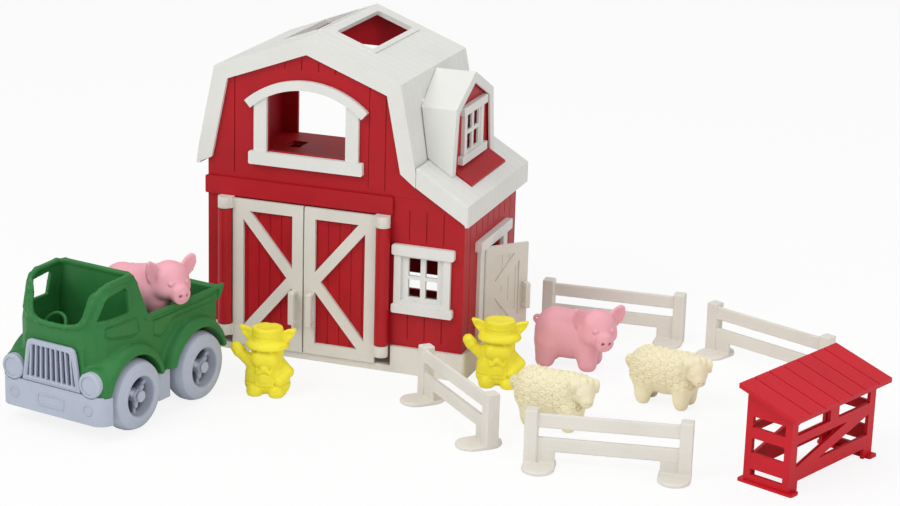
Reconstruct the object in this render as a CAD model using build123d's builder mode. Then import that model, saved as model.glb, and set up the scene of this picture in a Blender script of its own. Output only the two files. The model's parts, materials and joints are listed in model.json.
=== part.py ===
"""Toy farm playset: a gambrel barn with a lean-to, three hinged doors, a pickup truck,
a shelter, four fence panels, two farmers, two sheep and two pigs, all moulded in plastic."""
from build123d import *
from math import asin, atan2, cos, degrees, hypot, pi, radians, sin
import os

os.makedirs("parts", exist_ok=True)

# Driving dimensions, in millimetres. The origin is on the floor under the middle of the
# barn's main doorway, halfway back through the roof; the barn's front faces -Y.

# Barn shell
wall = 2.8
barn_left = -83.6
barn_right = 131.0
barn_front = -72.0
lower_back = 55.0
loft_back = 72.0
lower_top = 141.7
seat_gap = 0.1

# Base tray
plinth_height = 21.7
plinth_wall = 5.0
plinth_proud = 3.2
tray_floor = 2.4
threshold_height = 5.6

# Main doorway and its hinge columns
doorway_half = 59.6
doorway_top = 121.0
lintel_bottom = 127.4
column_radius = 5.6
column_x = 66.6
column_y = barn_front - 6.0
column_bottom = 22.6
column_top = 118.0

# Lower windows and doorways
window_x = 98.0
window_z = 78.7
window_wide = 38.0
window_high = 40.0
side_door_front = -26.0
side_door_wide = 39.0
side_door_bottom = 24.0
side_door_top = 97.0
feed_slot_left = 40.0
feed_slot_right = 112.0
feed_slot_bottom = 27.0
feed_slot_top = 41.5
back_door_x = -22.0
back_door_half = 44.0
back_door_top = 126.4

# Roof
roof_front = -75.3
roof_back = 75.5
roof_skin = 3.0
ridge_z = 259.6
break_x = 77.3
break_z = 230.4
eave_x = 90.4
eave_z = 166.2
tip_x = 92.4
tip_z = 151.0
rim_width = 12.6
rim_deep = 3.6
lean_to_top_z = 168.0
lean_to_eave_x = 134.4
lean_to_eave_z = 141.4
lean_to_drop = 16.8
skylight_start = -33.0
skylight_end = 58.0
skylight_inner = 8.0
skylight_outer = 40.0
skylight_rim = 4.6

# Dormer
dormer_y = 2.0
dormer_face_x = 111.6
dormer_half_break = 44.6
dormer_half_foot = 53.0
dormer_break_z = 207.6
dormer_ridge_z = 229.0
dormer_skin = 2.6
dormer_rim = 8.0
dormer_inset = 3.4
apron_x = 124.6

# Loft window
arch_half = 33.0
arch_sill_z = ridge_z - 93.0
arch_spring_z = ridge_z - 50.0
arch_rise = 8.4
arch_post = 10.6

# Doors
door_gap = 1.3
door_top = 126.0
door_bottom = 6.0
door_thick = 3.0
door_rail = 9.0
brace_wide = 8.6
hinge_play = 0.08
pin_radius = 1.9
pin_long = 3.0
part_play = 0.35

# Fence panels
fence_long = 109.7
fence_high = 42.0
fence_post = 9.4
post_cap = 2.4
fence_depth = 10.0
fence_web = 2.6
rail_high = 10.4
rail_thick = 3.0
upper_rail_z = 34.4
lower_rail_z = 16.6
foot_wide = 28.0
foot_long = 40.0
foot_inward = 7.5
foot_outward = 7.0
foot_thick = 2.6

# Shelter
shelter_long = 107.5
shelter_deep = 38.0
shelter_high = 70.0
shelter_low = 58.6
shelter_lap = 7.6
shelter_skin = 2.6
shelter_roof_thick = 3.4

# Truck
wheel_base = 76.0
tyre_radius = 27.0
tyre_wide = 20.0
tyre_round = 7.0
axle_radius = 2.5
axle_play = 0.08
cap_radius = 5.2
bumper_x = 115.0
bumper_half = 49.0
bumper_bottom = 13.0
bumper_top = 35.0
body_half = 41.0
bed_back = -32.0
bed_front = 58.0
bed_rail_z = 80.0
bed_floor_z = 58.5
cab_floor_z = 42.0
body_skin = 3.0
cab_half_top = 33.4
cab_back_top = 65.0
cab_top_z = 109.0
cab_roof_long = 27.0
cowl_x = 109.0
cowl_z = 82.0
nose_x = 111.0
nose_round = 14.0
fender_radius = 38.0
well_radius = 30.0
fender_bulge = 7.0
fender_slope = 38.0
well_inner = 25.6
headlight_radius = 9.6
headlight_y = 35.6
headlight_z = 43.0
grille_half = 25.0
grille_top = 67.5
grille_bar = 1.9
grille_gaps = 8

# Figures
pig_scale = 1.05
pig_long = 62.0
pig_girth = 17.6
pig_axis_z = 27.4
sheep_scale = 0.92
sheep_long = 64.0
sheep_girth = 17.2
sheep_axis_z = 29.0
wool_radius = 6.4
wool_rings = ((-26, 9.5, 5), (-18, 13, 7), (-8, 13.6, 7), (2, 13.6, 7), (12, 12.6, 7), (20, 9, 5))
farmer_scale = 0.88
farmer_high = 62.0
farmer_stride = 9.0
farmer_sections = ((9, 18, 12), (17, 18.6, 12.6), (26, 16, 11.4), (33, 10, 8.6))

# Where the loose pieces stand: x, y and heading in degrees
truck_place = (-82.0, -181.0, -101.8)
shelter_place = (379.8, -184.3, 67.8)
fence_places = {
    "fence_left": (118.4, -117.0, -45.0),
    "fence_front": (232.5, -213.0, 10.1),
    "fence_back": (155.1, 80.7, 3.3),
    "fence_right": (296.5, 77.0, -24.5),
}
farmer_places = {"farmer_left": (4.6, -156.3, 10.0), "farmer_right": (160.5, -68.0, 12.0)}
sheep_places = {"sheep_front": (226.7, -133.5, -4.0), "sheep_back": (293.2, -54.7, -8.0)}
pen_pig_place = (200.5, 0.0, 2.0)
bed_pig_x = 18.0
bed_pig_y = 7.5
bed_pig_turn = 125.0
side_door_open = 42.0


def gambrel(inset=0.0, foot=tip_z):
    """Right half of the roof line as corner points, drawn in by a wall's thickness."""
    steep = hypot(eave_x - break_x, break_z - eave_z)
    gentle = hypot(break_x, ridge_z - break_z)
    side = inset * steep / (break_z - eave_z)
    lift = inset * gentle / break_x
    slope = (eave_x - break_x) / (break_z - eave_z)
    fall = (ridge_z - break_z) / break_x
    low_break_x = (break_x - side + slope * (break_z - ridge_z + lift)) / (1 - slope * fall)
    low_break_z = ridge_z - lift - fall * low_break_x
    low_eave_x = eave_x - side
    low_tip_x = low_eave_x + (tip_x - eave_x) * (eave_z - foot) / (eave_z - tip_z)
    return [(0, ridge_z - lift), (low_break_x, low_break_z), (low_eave_x, eave_z), (low_tip_x, foot)]


def symmetric(points):
    """Both halves of an outline whose first point is on the middle line."""
    return points + [(-x, z) for x, z in reversed(points[1:])]


def lean_to_z(x):
    """Height of the lean-to roof's top face."""
    share = (x - eave_x) / (lean_to_eave_x - eave_x)
    return lean_to_top_z + share * (lean_to_eave_z - lean_to_top_z)


def side_plane(y):
    """Plane facing the viewer at depth y, with X to the right and Z up."""
    return Plane(origin=(0, y, 0), x_dir=(1, 0, 0), z_dir=(0, -1, 0))


def end_plane(x):
    """Plane across X, with Y along its first axis and Z up."""
    return Plane(origin=(x, 0, 0), x_dir=(0, 1, 0), z_dir=(1, 0, 0))


def save(piece, name):
    """Label a finished piece and write its file."""
    solid = piece.part if hasattr(piece, "part") else piece
    solid.label = name
    export_step(solid, f"parts/{name}.step")


def stand(piece, place, lift=0.0):
    """Turn and move a loose piece from its own frame to where it stands."""
    x, y, turn = place
    piece.part.move(Location((x, y, lift), (0, 0, turn)))
    return piece


def stand_figure(piece, size, place, lift, name):
    """Bring a figure modelled at its drawing size to its moulded size, stand it up and save it."""
    x, y, turn = place
    save(scale(piece.part, by=size).moved(Location((x, y, lift), (0, 0, turn))), name)


def plank_grooves(first, last, pitch):
    """Groove positions along a planked wall."""
    count = int((last - first) / pitch)
    return [first + pitch * step for step in range(1, count + 1)]


groove = 1.0
groove_deep = 0.7
plank = 14.0
right_wall_top = lean_to_eave_z - 2.2

# Base tray: a low ring with a floor, cut down to a threshold in front of the doors
with BuildPart() as base_tray:
    with BuildSketch(Plane.XY):
        with Locations(((barn_left + barn_right) / 2, (barn_front + lower_back) / 2)):
            RectangleRounded(barn_right - barn_left + 2 * plinth_proud,
                             lower_back - barn_front + 2 * plinth_proud, 3)
    extrude(amount=plinth_height)
    with BuildSketch(Plane.XY.offset(tray_floor)):
        with Locations(((barn_left + barn_right) / 2, (barn_front + lower_back) / 2)):
            Rectangle(barn_right - barn_left + 2 * (plinth_proud - plinth_wall),
                      lower_back - barn_front + 2 * (plinth_proud - plinth_wall))
    extrude(amount=plinth_height, mode=Mode.SUBTRACT)
    with BuildSketch(Plane.XY.offset(threshold_height)):
        with Locations((0, barn_front)):
            Rectangle(2 * (column_x + column_radius + 1.2), 3 * plinth_wall)
    extrude(amount=plinth_height, mode=Mode.SUBTRACT)
save(base_tray, "base_tray")

# Front wall of the lower storey, with the doorway, the window and the two hinge columns
with BuildPart() as lower_front_wall:
    with BuildSketch(side_plane(barn_front)) as front_face:
        with Locations(((barn_left + barn_right) / 2, (plinth_height + seat_gap + lower_top) / 2)):
            Rectangle(barn_right - barn_left, lower_top - plinth_height - seat_gap)
        with Locations((0, doorway_top / 2)):
            Rectangle(2 * doorway_half, doorway_top, mode=Mode.SUBTRACT)
        with Locations((window_x, window_z)):
            Rectangle(window_wide, window_high, mode=Mode.SUBTRACT)
        with BuildLine():
            Polyline((barn_right - 12, lower_top + 1), (barn_right + 1, lower_top + 1),
                     (barn_right + 1, right_wall_top - 0.8), close=True)
        make_face(mode=Mode.SUBTRACT)
    extrude(amount=-wall)
    with BuildSketch(side_plane(barn_front)):
        for x in plank_grooves(column_x + column_radius, barn_right - 6, plank):
            with Locations((x, 80)):
                Rectangle(groove, 104)
        with Locations((window_x, window_z)):
            Rectangle(window_wide + 16, window_high + 18, mode=Mode.SUBTRACT)
    extrude(amount=-groove_deep, mode=Mode.SUBTRACT)
    with BuildSketch(Plane.XY.offset(column_bottom)):
        with Locations((-column_x, column_y), (column_x, column_y)):
            Circle(column_radius)
        with Locations((-column_x, (column_y + barn_front) / 2), (column_x, (column_y + barn_front) / 2)):
            Rectangle(column_radius, barn_front - column_y)
    extrude(amount=column_top - column_bottom)
    with BuildSketch(Plane.XY.offset(column_bottom)):
        with Locations((-column_x, column_y), (column_x, column_y)):
            Circle(pin_radius + hinge_play)
    extrude(amount=pin_long + 0.6, mode=Mode.SUBTRACT)
    with BuildSketch(Plane.XY.offset(column_top - pin_long - 0.6)):
        with Locations((-column_x, column_y), (column_x, column_y)):
            Circle(pin_radius + hinge_play)
    extrude(amount=pin_long + 0.6, mode=Mode.SUBTRACT)
save(lower_front_wall, "lower_front_wall")

# Side walls of the lower storey
with BuildPart() as lower_left_wall:
    with BuildSketch(end_plane(barn_left)):
        with Locations(((barn_front + wall + seat_gap + lower_back) / 2, (plinth_height + seat_gap + lower_top) / 2)):
            Rectangle(lower_back - barn_front - wall - seat_gap, lower_top - plinth_height - seat_gap)
    extrude(amount=wall)
    with BuildSketch(end_plane(barn_left)):
        for y in plank_grooves(barn_front, lower_back, plank):
            with Locations((y, 80)):
                Rectangle(groove, 112)
    extrude(amount=groove_deep, mode=Mode.SUBTRACT)
save(lower_left_wall, "lower_left_wall")

side_door_middle = side_door_front + side_door_wide / 2
side_door_height = side_door_top - side_door_bottom
with BuildPart() as lower_right_wall:
    with BuildSketch(end_plane(barn_right)):
        with Locations(((barn_front + wall + seat_gap + lower_back) / 2, (plinth_height + seat_gap + right_wall_top) / 2)):
            Rectangle(lower_back - barn_front - wall - seat_gap, right_wall_top - plinth_height - seat_gap)
        with Locations((side_door_middle, (plinth_height + side_door_top) / 2)):
            Rectangle(side_door_wide, side_door_top - plinth_height + 1, mode=Mode.SUBTRACT)
    extrude(amount=-wall)
    with BuildSketch(end_plane(barn_right)):
        for y in plank_grooves(barn_front, lower_back, plank):
            with Locations((y, 78)):
                Rectangle(groove, 108)
        with Locations((side_door_middle, (side_door_bottom + side_door_top) / 2)):
            Rectangle(side_door_wide + 46, side_door_height + 26, mode=Mode.SUBTRACT)
    extrude(amount=-groove_deep, mode=Mode.SUBTRACT)
save(lower_right_wall, "lower_right_wall")

# Back wall of the lower storey, with the wide way in and the low slot under the lean-to
inner_left = barn_left + wall + seat_gap
inner_right = barn_right - wall - seat_gap
with BuildPart() as lower_back_wall:
    with BuildSketch(side_plane(lower_back - wall)):
        with Locations(((inner_left + inner_right) / 2, (plinth_height + seat_gap + right_wall_top) / 2)):
            Rectangle(inner_right - inner_left, right_wall_top - plinth_height - seat_gap)
        with Locations((back_door_x, back_door_top / 2)):
            Rectangle(2 * back_door_half, back_door_top, mode=Mode.SUBTRACT)
        with Locations(((feed_slot_left + feed_slot_right) / 2, (feed_slot_bottom + feed_slot_top) / 2)):
            Rectangle(feed_slot_right - feed_slot_left, feed_slot_top - feed_slot_bottom, mode=Mode.SUBTRACT)
    extrude(amount=-wall)
save(lower_back_wall, "lower_back_wall")

# Loft: a floor with its left-hand wall in one moulding, and a slot near the back
loft_floor_z = lower_top + seat_gap
inner_steep_x = gambrel(roof_skin + 0.2)[2][0]
curb_top = eave_z + (inner_steep_x + barn_left) * (break_z - eave_z) / (eave_x - break_x)
loft_right = barn_right - 8.0
with BuildPart() as loft_floor:
    with BuildSketch(Plane.XY.offset(loft_floor_z)):
        with Locations(((barn_left + loft_right) / 2, 0)):
            Rectangle(loft_right - barn_left, 2 * (loft_back - wall - seat_gap))
        with Locations((-53, 34)):
            Rectangle(13, 20, mode=Mode.SUBTRACT)
    extrude(amount=wall)
    with BuildSketch(Plane.XY.offset(loft_floor_z)):
        with Locations((barn_left + wall / 2, 0)):
            Rectangle(wall, 2 * (loft_back - wall - seat_gap))
    extrude(amount=curb_top - loft_floor_z)
save(loft_floor, "loft_floor")

# Gable walls, shaped to the inside of the roof
lean_inner_drop = 3.6
gable_line = gambrel(roof_skin + 0.1, eave_z)
gable_right_x = loft_right
right_foot_x = eave_x + 0.6
right_foot_z = eave_z - 3.0
gable_outline = [
    (barn_left, loft_floor_z),
    (barn_left, curb_top),
    (-gable_line[1][0], gable_line[1][1]),
    (0, gable_line[0][1]),
    (gable_line[1][0], gable_line[1][1]),
    (gable_line[2][0], eave_z),
    (right_foot_x - roof_skin - 0.1, right_foot_z - 0.1),
    (right_foot_x + 0.3, right_foot_z - 0.1),
    (gable_right_x, lean_to_z(gable_right_x) - lean_inner_drop),
    (gable_right_x, loft_floor_z),
]
arch_centre_z = arch_spring_z - (arch_half ** 2 - arch_rise ** 2) / (2 * arch_rise)
arch_inner = arch_spring_z + arch_rise - arch_centre_z
with BuildPart() as gable_front:
    with BuildSketch(side_plane(barn_front)):
        with BuildLine():
            Polyline(*gable_outline, close=True)
        make_face()
        with BuildLine(mode=Mode.PRIVATE) as window_edge:
            Polyline((-arch_half, arch_spring_z), (-arch_half, arch_sill_z), (arch_half, arch_sill_z),
                     (arch_half, arch_spring_z))
            ThreePointArc((arch_half, arch_spring_z), (0, arch_spring_z + arch_rise), (-arch_half, arch_spring_z))
        make_face(window_edge.edges(), mode=Mode.SUBTRACT)
    extrude(amount=-wall)
    with BuildSketch(side_plane(barn_front)):
        for x in plank_grooves(-75, 75, plank):
            with Locations((x, (lower_top + ridge_z) / 2)):
                Rectangle(groove, ridge_z - lower_top + 40)
        with Locations((0, (arch_sill_z + arch_spring_z) / 2)):
            Rectangle(2 * arch_half + 36, 90, mode=Mode.SUBTRACT)
        with Locations((0, loft_floor_z)):
            Rectangle(2 * barn_right, 8, mode=Mode.SUBTRACT)
    extrude(amount=-groove_deep, mode=Mode.SUBTRACT)
save(gable_front, "gable_front")

back_opening_half = 67.0
back_opening_top = 226.0
with BuildPart() as gable_back:
    with BuildSketch(side_plane(loft_back - wall)):
        with BuildLine():
            Polyline(*gable_outline, close=True)
        make_face()
        with Locations((0, (loft_floor_z + wall + back_opening_top) / 2)):
            Rectangle(2 * back_opening_half, back_opening_top - loft_floor_z - wall, mode=Mode.SUBTRACT)
    extrude(amount=-wall)
save(gable_back, "gable_back")

# Roof: the bent shell with a broad rim at each end, two skylights and the hole under the dormer
outer_line = gambrel()
shell_line = gambrel(roof_skin)
rim_line = gambrel(rim_width)
left_outer = [(-x, z) for x, z in outer_line]
left_shell = [(-x, z) for x, z in shell_line]
left_rim = [(-x, z) for x, z in rim_line]
shell_outline = (
    left_outer[::-1][:3] + outer_line[:3] + [(right_foot_x, right_foot_z)]
    + [(right_foot_x - roof_skin, right_foot_z)] + shell_line[:3][::-1] + left_shell[1:]
)
rim_foot_z = lean_to_eave_z + 10.0
rim_corner = (rim_line[2][0] + 1.0, lean_to_z(rim_line[2][0]) - lean_to_drop + 2.0)
rim_outline = (
    left_outer[::-1][:3] + outer_line[:3] + [(right_foot_x, right_foot_z), (right_foot_x, rim_foot_z), rim_corner]
    + rim_line[:2][::-1] + left_rim[1:3] + [(-rim_line[3][0], left_outer[3][1] + 6.0)]
)
gentle_slope = atan2(ridge_z - break_z, break_x)


def slope_plane(side):
    """Plane on a gentle roof slope, its origin at the ridge and X running down the slope."""
    run = cos(gentle_slope)
    fall = sin(gentle_slope)
    return Plane(origin=(0, 0, ridge_z), x_dir=(side * run, 0, -fall), z_dir=(side * fall, 0, run))


skylight_middle = (skylight_start + skylight_end) / 2
skylight_long = skylight_end - skylight_start
skylight_wide = skylight_outer - skylight_inner
with BuildPart() as roof:
    with BuildSketch(side_plane(roof_front)):
        with BuildLine():
            Polyline(*shell_outline, close=True)
        make_face()
    extrude(amount=-(roof_back - roof_front))
    for y, deep in ((roof_front, rim_deep - 0.4), (roof_back - rim_deep + 0.4, rim_deep - 0.4)):
        with BuildSketch(side_plane(y)):
            with BuildLine():
                Polyline(*rim_outline, close=True)
            make_face()
        extrude(amount=-deep)
    for side in (-1, 1):
        with BuildSketch(slope_plane(side)):
            with Locations(((skylight_inner + skylight_outer) / 2, side * skylight_middle)):
                RectangleRounded(skylight_wide + 2 * skylight_rim, skylight_long + 2 * skylight_rim, 2)
        extrude(amount=1.0)
        with BuildSketch(slope_plane(side).offset(2)):
            with Locations(((skylight_inner + skylight_outer) / 2, side * skylight_middle)):
                RectangleRounded(skylight_wide, skylight_long, 2)
        extrude(amount=-9, mode=Mode.SUBTRACT)
    with BuildSketch(end_plane(break_x - 12)):
        with Locations((dormer_y, (right_foot_z + dormer_break_z + 8) / 2)):
            Rectangle(2 * (dormer_half_break - 6), dormer_break_z + 8 - right_foot_z - 8)
    extrude(amount=30, mode=Mode.SUBTRACT)
save(roof, "roof")

# Lean-to roof with its deep eave, front and back ends and the hole under the dormer
lean_skin = 3.2
with BuildPart() as lean_to_roof:
    with BuildSketch(side_plane(roof_front)):
        with BuildLine():
            Polyline(
                (right_foot_x + 0.2, lean_to_z(right_foot_x + 0.2)),
                (lean_to_eave_x, lean_to_eave_z),
                (lean_to_eave_x, lean_to_eave_z - lean_to_drop),
                (lean_to_eave_x - roof_skin, lean_to_eave_z - lean_to_drop),
                (lean_to_eave_x - roof_skin, lean_to_z(lean_to_eave_x - roof_skin) - lean_skin),
                (right_foot_x + 0.2, lean_to_z(right_foot_x + 0.2) - lean_skin),
                close=True,
            )
        make_face()
    extrude(amount=-(roof_back - roof_front))
    for y in (roof_front, roof_back - rim_deep + 0.4):
        with BuildSketch(side_plane(y)):
            with BuildLine():
                Polyline(
                    (right_foot_x + 0.2, lean_to_z(right_foot_x + 0.2)),
                    (lean_to_eave_x, lean_to_eave_z),
                    (lean_to_eave_x, lean_to_eave_z - lean_to_drop),
                    (right_foot_x + 0.2, rim_foot_z),
                    close=True,
                )
            make_face()
        extrude(amount=-(rim_deep - 0.4))
    with BuildSketch(Plane.XY.offset(lean_to_eave_z)):
        with Locations(((right_foot_x + dormer_face_x - 8) / 2, dormer_y)):
            Rectangle(dormer_face_x - 8 - right_foot_x - 3, 2 * (dormer_half_break - 6))
    extrude(amount=40, mode=Mode.SUBTRACT)
save(lean_to_roof, "lean_to_roof")


def dormer_line(inset=0.0, foot_z=lean_to_eave_z + 2.0):
    """Right half of the dormer's outline across Y, drawn in by a thickness."""
    spread = (dormer_half_foot - dormer_half_break) / (dormer_break_z - lean_to_eave_z)
    pitch = (dormer_ridge_z - dormer_break_z) / dormer_half_break
    side = inset * hypot(1, spread)
    lift = inset * hypot(1, pitch)
    low_half = dormer_half_break - side
    low_z = dormer_ridge_z - lift - pitch * low_half
    foot_half = low_half + spread * (low_z - foot_z)
    return [(0, dormer_ridge_z - lift), (low_half, low_z), (foot_half, foot_z)]


def dormer_outline(inset=0.0, foot_z=lean_to_eave_z + 2.0):
    """Whole closed outline of the dormer, set at the dormer's place along Y."""
    half = dormer_line(inset, foot_z)
    return [(dormer_y + y, z) for y, z in symmetric(half)]


# Dormer hood: cheeks and a ridged top that run back into the steep slope
roof_clear = 0.15
with BuildPart() as dormer_hood:
    with BuildSketch(end_plane(break_x - 16)):
        with BuildLine():
            Polyline(*dormer_outline(), close=True)
        make_face()
        with BuildLine():
            Polyline(*dormer_outline(dormer_skin), close=True)
        make_face(mode=Mode.SUBTRACT)
    extrude(amount=dormer_face_x - break_x + 16)
    with BuildSketch(end_plane(dormer_face_x - 2.4)):
        with BuildLine():
            Polyline(*dormer_outline(), close=True)
        make_face()
        with BuildLine():
            Polyline(*dormer_outline(dormer_rim), close=True)
        make_face(mode=Mode.SUBTRACT)
    extrude(amount=2.4)
    with BuildSketch(side_plane(roof_front)):
        with BuildLine():
            Polyline(
                (0, 0), (0, ridge_z + roof_clear), (break_x + roof_clear, break_z + roof_clear),
                (eave_x + roof_clear, eave_z), (right_foot_x + roof_clear, lean_to_z(right_foot_x) + roof_clear),
                (lean_to_eave_x + 4, lean_to_z(lean_to_eave_x + 4) + roof_clear), (lean_to_eave_x + 4, 0),
                close=True,
            )
        make_face()
    extrude(amount=-(roof_back - roof_front), mode=Mode.SUBTRACT)
save(dormer_hood, "dormer_hood")

# Dormer's red wall with its window hole and the apron that lies on the lean-to roof
dormer_wall_x = dormer_face_x - 3.4
pane_bottom = 168.0
pane_top = 198.0
dormer_pane_half = 15.0
apron_thick = 1.6
with BuildPart() as dormer_wall:
    with BuildSketch(end_plane(dormer_wall_x)):
        with BuildLine():
            Polyline(*dormer_outline(dormer_skin + 0.1), close=True)
        make_face()
        with Locations((dormer_y, (pane_bottom + pane_top) / 2)):
            Rectangle(2 * dormer_pane_half, pane_top - pane_bottom, mode=Mode.SUBTRACT)
    extrude(amount=-2.2)
    with BuildSketch(side_plane(dormer_y + dormer_half_break - 3)):
        with BuildLine():
            Polyline(
                (dormer_wall_x - 1, lean_to_z(dormer_wall_x - 1) + roof_clear), (apron_x, lean_to_z(apron_x) + roof_clear),
                (apron_x, lean_to_z(apron_x) + roof_clear + apron_thick),
                (dormer_wall_x - 1, lean_to_z(dormer_wall_x - 1) + roof_clear + apron_thick), close=True,
            )
        make_face()
    extrude(amount=2 * (dormer_half_break - 3))
    with BuildSketch(side_plane(roof_front)):
        with BuildLine():
            Polyline(
                (right_foot_x, 0), (right_foot_x, lean_to_z(right_foot_x) + roof_clear),
                (lean_to_eave_x, lean_to_eave_z + roof_clear), (lean_to_eave_x, 0), close=True,
            )
        make_face()
    extrude(amount=-(roof_back - roof_front), mode=Mode.SUBTRACT)
save(dormer_wall, "dormer_wall")

# Dormer window: a panel with four panes, posts, a header and a sill
with BuildPart() as dormer_window:
    with BuildSketch(end_plane(dormer_wall_x + 0.1)):
        with Locations((dormer_y, (pane_bottom + pane_top) / 2)):
            Rectangle(2 * dormer_pane_half + 12, pane_top - pane_bottom + 6)
        with Locations((dormer_y, (pane_bottom + pane_top) / 2)):
            with GridLocations(dormer_pane_half + 1, (pane_top - pane_bottom) / 2 + 1, 2, 2):
                Rectangle(dormer_pane_half - 3, (pane_top - pane_bottom) / 2 - 2, mode=Mode.SUBTRACT)
    extrude(amount=1.8)
    with BuildSketch(end_plane(dormer_wall_x + 0.1)):
        for side in (-1, 1):
            with Locations((dormer_y + side * (dormer_pane_half + 5), (pane_bottom + pane_top) / 2)):
                Rectangle(6, pane_top - pane_bottom + 8)
    extrude(amount=3.0)
    with BuildSketch(end_plane(dormer_wall_x + 0.1)):
        with Locations((dormer_y, pane_top + 4)):
            RectangleRounded(2 * dormer_pane_half + 26, 6.6, 1)
        with Locations((dormer_y, pane_bottom - 4.6)):
            RectangleRounded(2 * dormer_pane_half + 30, 6.6, 1)
    extrude(amount=4.4)
save(dormer_window, "dormer_window")

# Arched frame round the loft window
frame_proud = 3.0
arch_outer = arch_inner + 7.4
arch_tip = 50.0
with BuildPart() as loft_window_frame:
    with BuildSketch(side_plane(barn_front - seat_gap)):
        for side in (-1, 1):
            with Locations((side * (arch_half + arch_post / 2), (arch_sill_z + arch_spring_z) / 2 - 1)):
                Rectangle(arch_post, arch_spring_z - arch_sill_z + 2)
    extrude(amount=frame_proud)
    with BuildSketch(side_plane(barn_front - seat_gap)):
        with Locations((0, arch_centre_z)):
            Circle(arch_outer)
            Circle(arch_inner, mode=Mode.SUBTRACT)
        with BuildLine():
            Polyline((0, arch_centre_z), (-arch_tip * 2, arch_centre_z + arch_inner * 1.61),
                     (arch_tip * 2, arch_centre_z + arch_inner * 1.61), close=True)
        make_face(mode=Mode.INTERSECT)
    extrude(amount=frame_proud + 1.4)
    with BuildSketch(side_plane(barn_front - seat_gap)):
        with Locations((0, arch_sill_z - 6)):
            RectangleRounded(2 * (arch_half + arch_post) + 8, 10.4, 1.4)
    extrude(amount=frame_proud + 1.4)
save(loft_window_frame, "loft_window_frame")

# Lower front window: panel with four panes set in the wall, posts, header and sill
with BuildPart() as front_window:
    with BuildSketch(side_plane(barn_front + wall - 0.4)):
        with Locations((window_x, window_z)):
            Rectangle(window_wide - 0.4, window_high - 0.4)
            with GridLocations(14.0, 17.2, 2, 2):
                Rectangle(9.8, 14.4, mode=Mode.SUBTRACT)
    extrude(amount=wall - 0.2)
    with BuildSketch(side_plane(barn_front - seat_gap)):
        with Locations((window_x, window_z)):
            Rectangle(window_wide + 8, window_high + 6)
            Rectangle(window_wide - 3, window_high - 3, mode=Mode.SUBTRACT)
    extrude(amount=frame_proud)
    with BuildSketch(side_plane(barn_front - seat_gap)):
        with Locations((window_x + 0.8, window_z + window_high / 2 + 2.2)):
            RectangleRounded(window_wide + 13, 8.4, 1.6)
        with Locations((window_x + 0.6, window_z - window_high / 2 - 5.2)):
            RectangleRounded(window_wide + 12, 7.4, 1.6)
    extrude(amount=frame_proud + 1.4)
save(front_window, "front_window")

# Lintel beam over the main doors
lintel_right = 72.7
with BuildPart() as door_lintel:
    with BuildSketch(side_plane(barn_front - seat_gap)):
        with Locations(((barn_left - 1.4 + lintel_right) / 2, (lintel_bottom + lower_top) / 2)):
            RectangleRounded(lintel_right - barn_left + 1.4, lower_top - lintel_bottom, 1.2)
    extrude(amount=2.6)
save(door_lintel, "door_lintel")

# Main doors: each leaf is a braced frame with knuckles that pin into its column's two ends,
# a planked panel behind it and a pull handle on the free stile
leaf_outer = column_x - column_radius - 0.6
leaf_inner = door_gap / 2
leaf_mid_z = (door_top + door_bottom) / 2
panel_thick = 1.4
door_y = barn_front - part_play - panel_thick - 0.05 - door_thick / 2
knuckle_high = 9.0
handle_x = 7.4
handle_z = 43.5
handle_long = 27.0
handle_gap = 4.6
handle_bar = 3.0


def brace_between(start, end, wide):
    """Closed outline of a straight bar of even width between two points."""
    run = hypot(end[0] - start[0], end[1] - start[1])
    across = ((start[1] - end[1]) / run * wide / 2, (end[0] - start[0]) / run * wide / 2)
    return [
        (start[0] + across[0], start[1] + across[1]), (start[0] - across[0], start[1] - across[1]),
        (end[0] - across[0], end[1] - across[1]), (end[0] + across[0], end[1] + across[1]),
    ]


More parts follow.
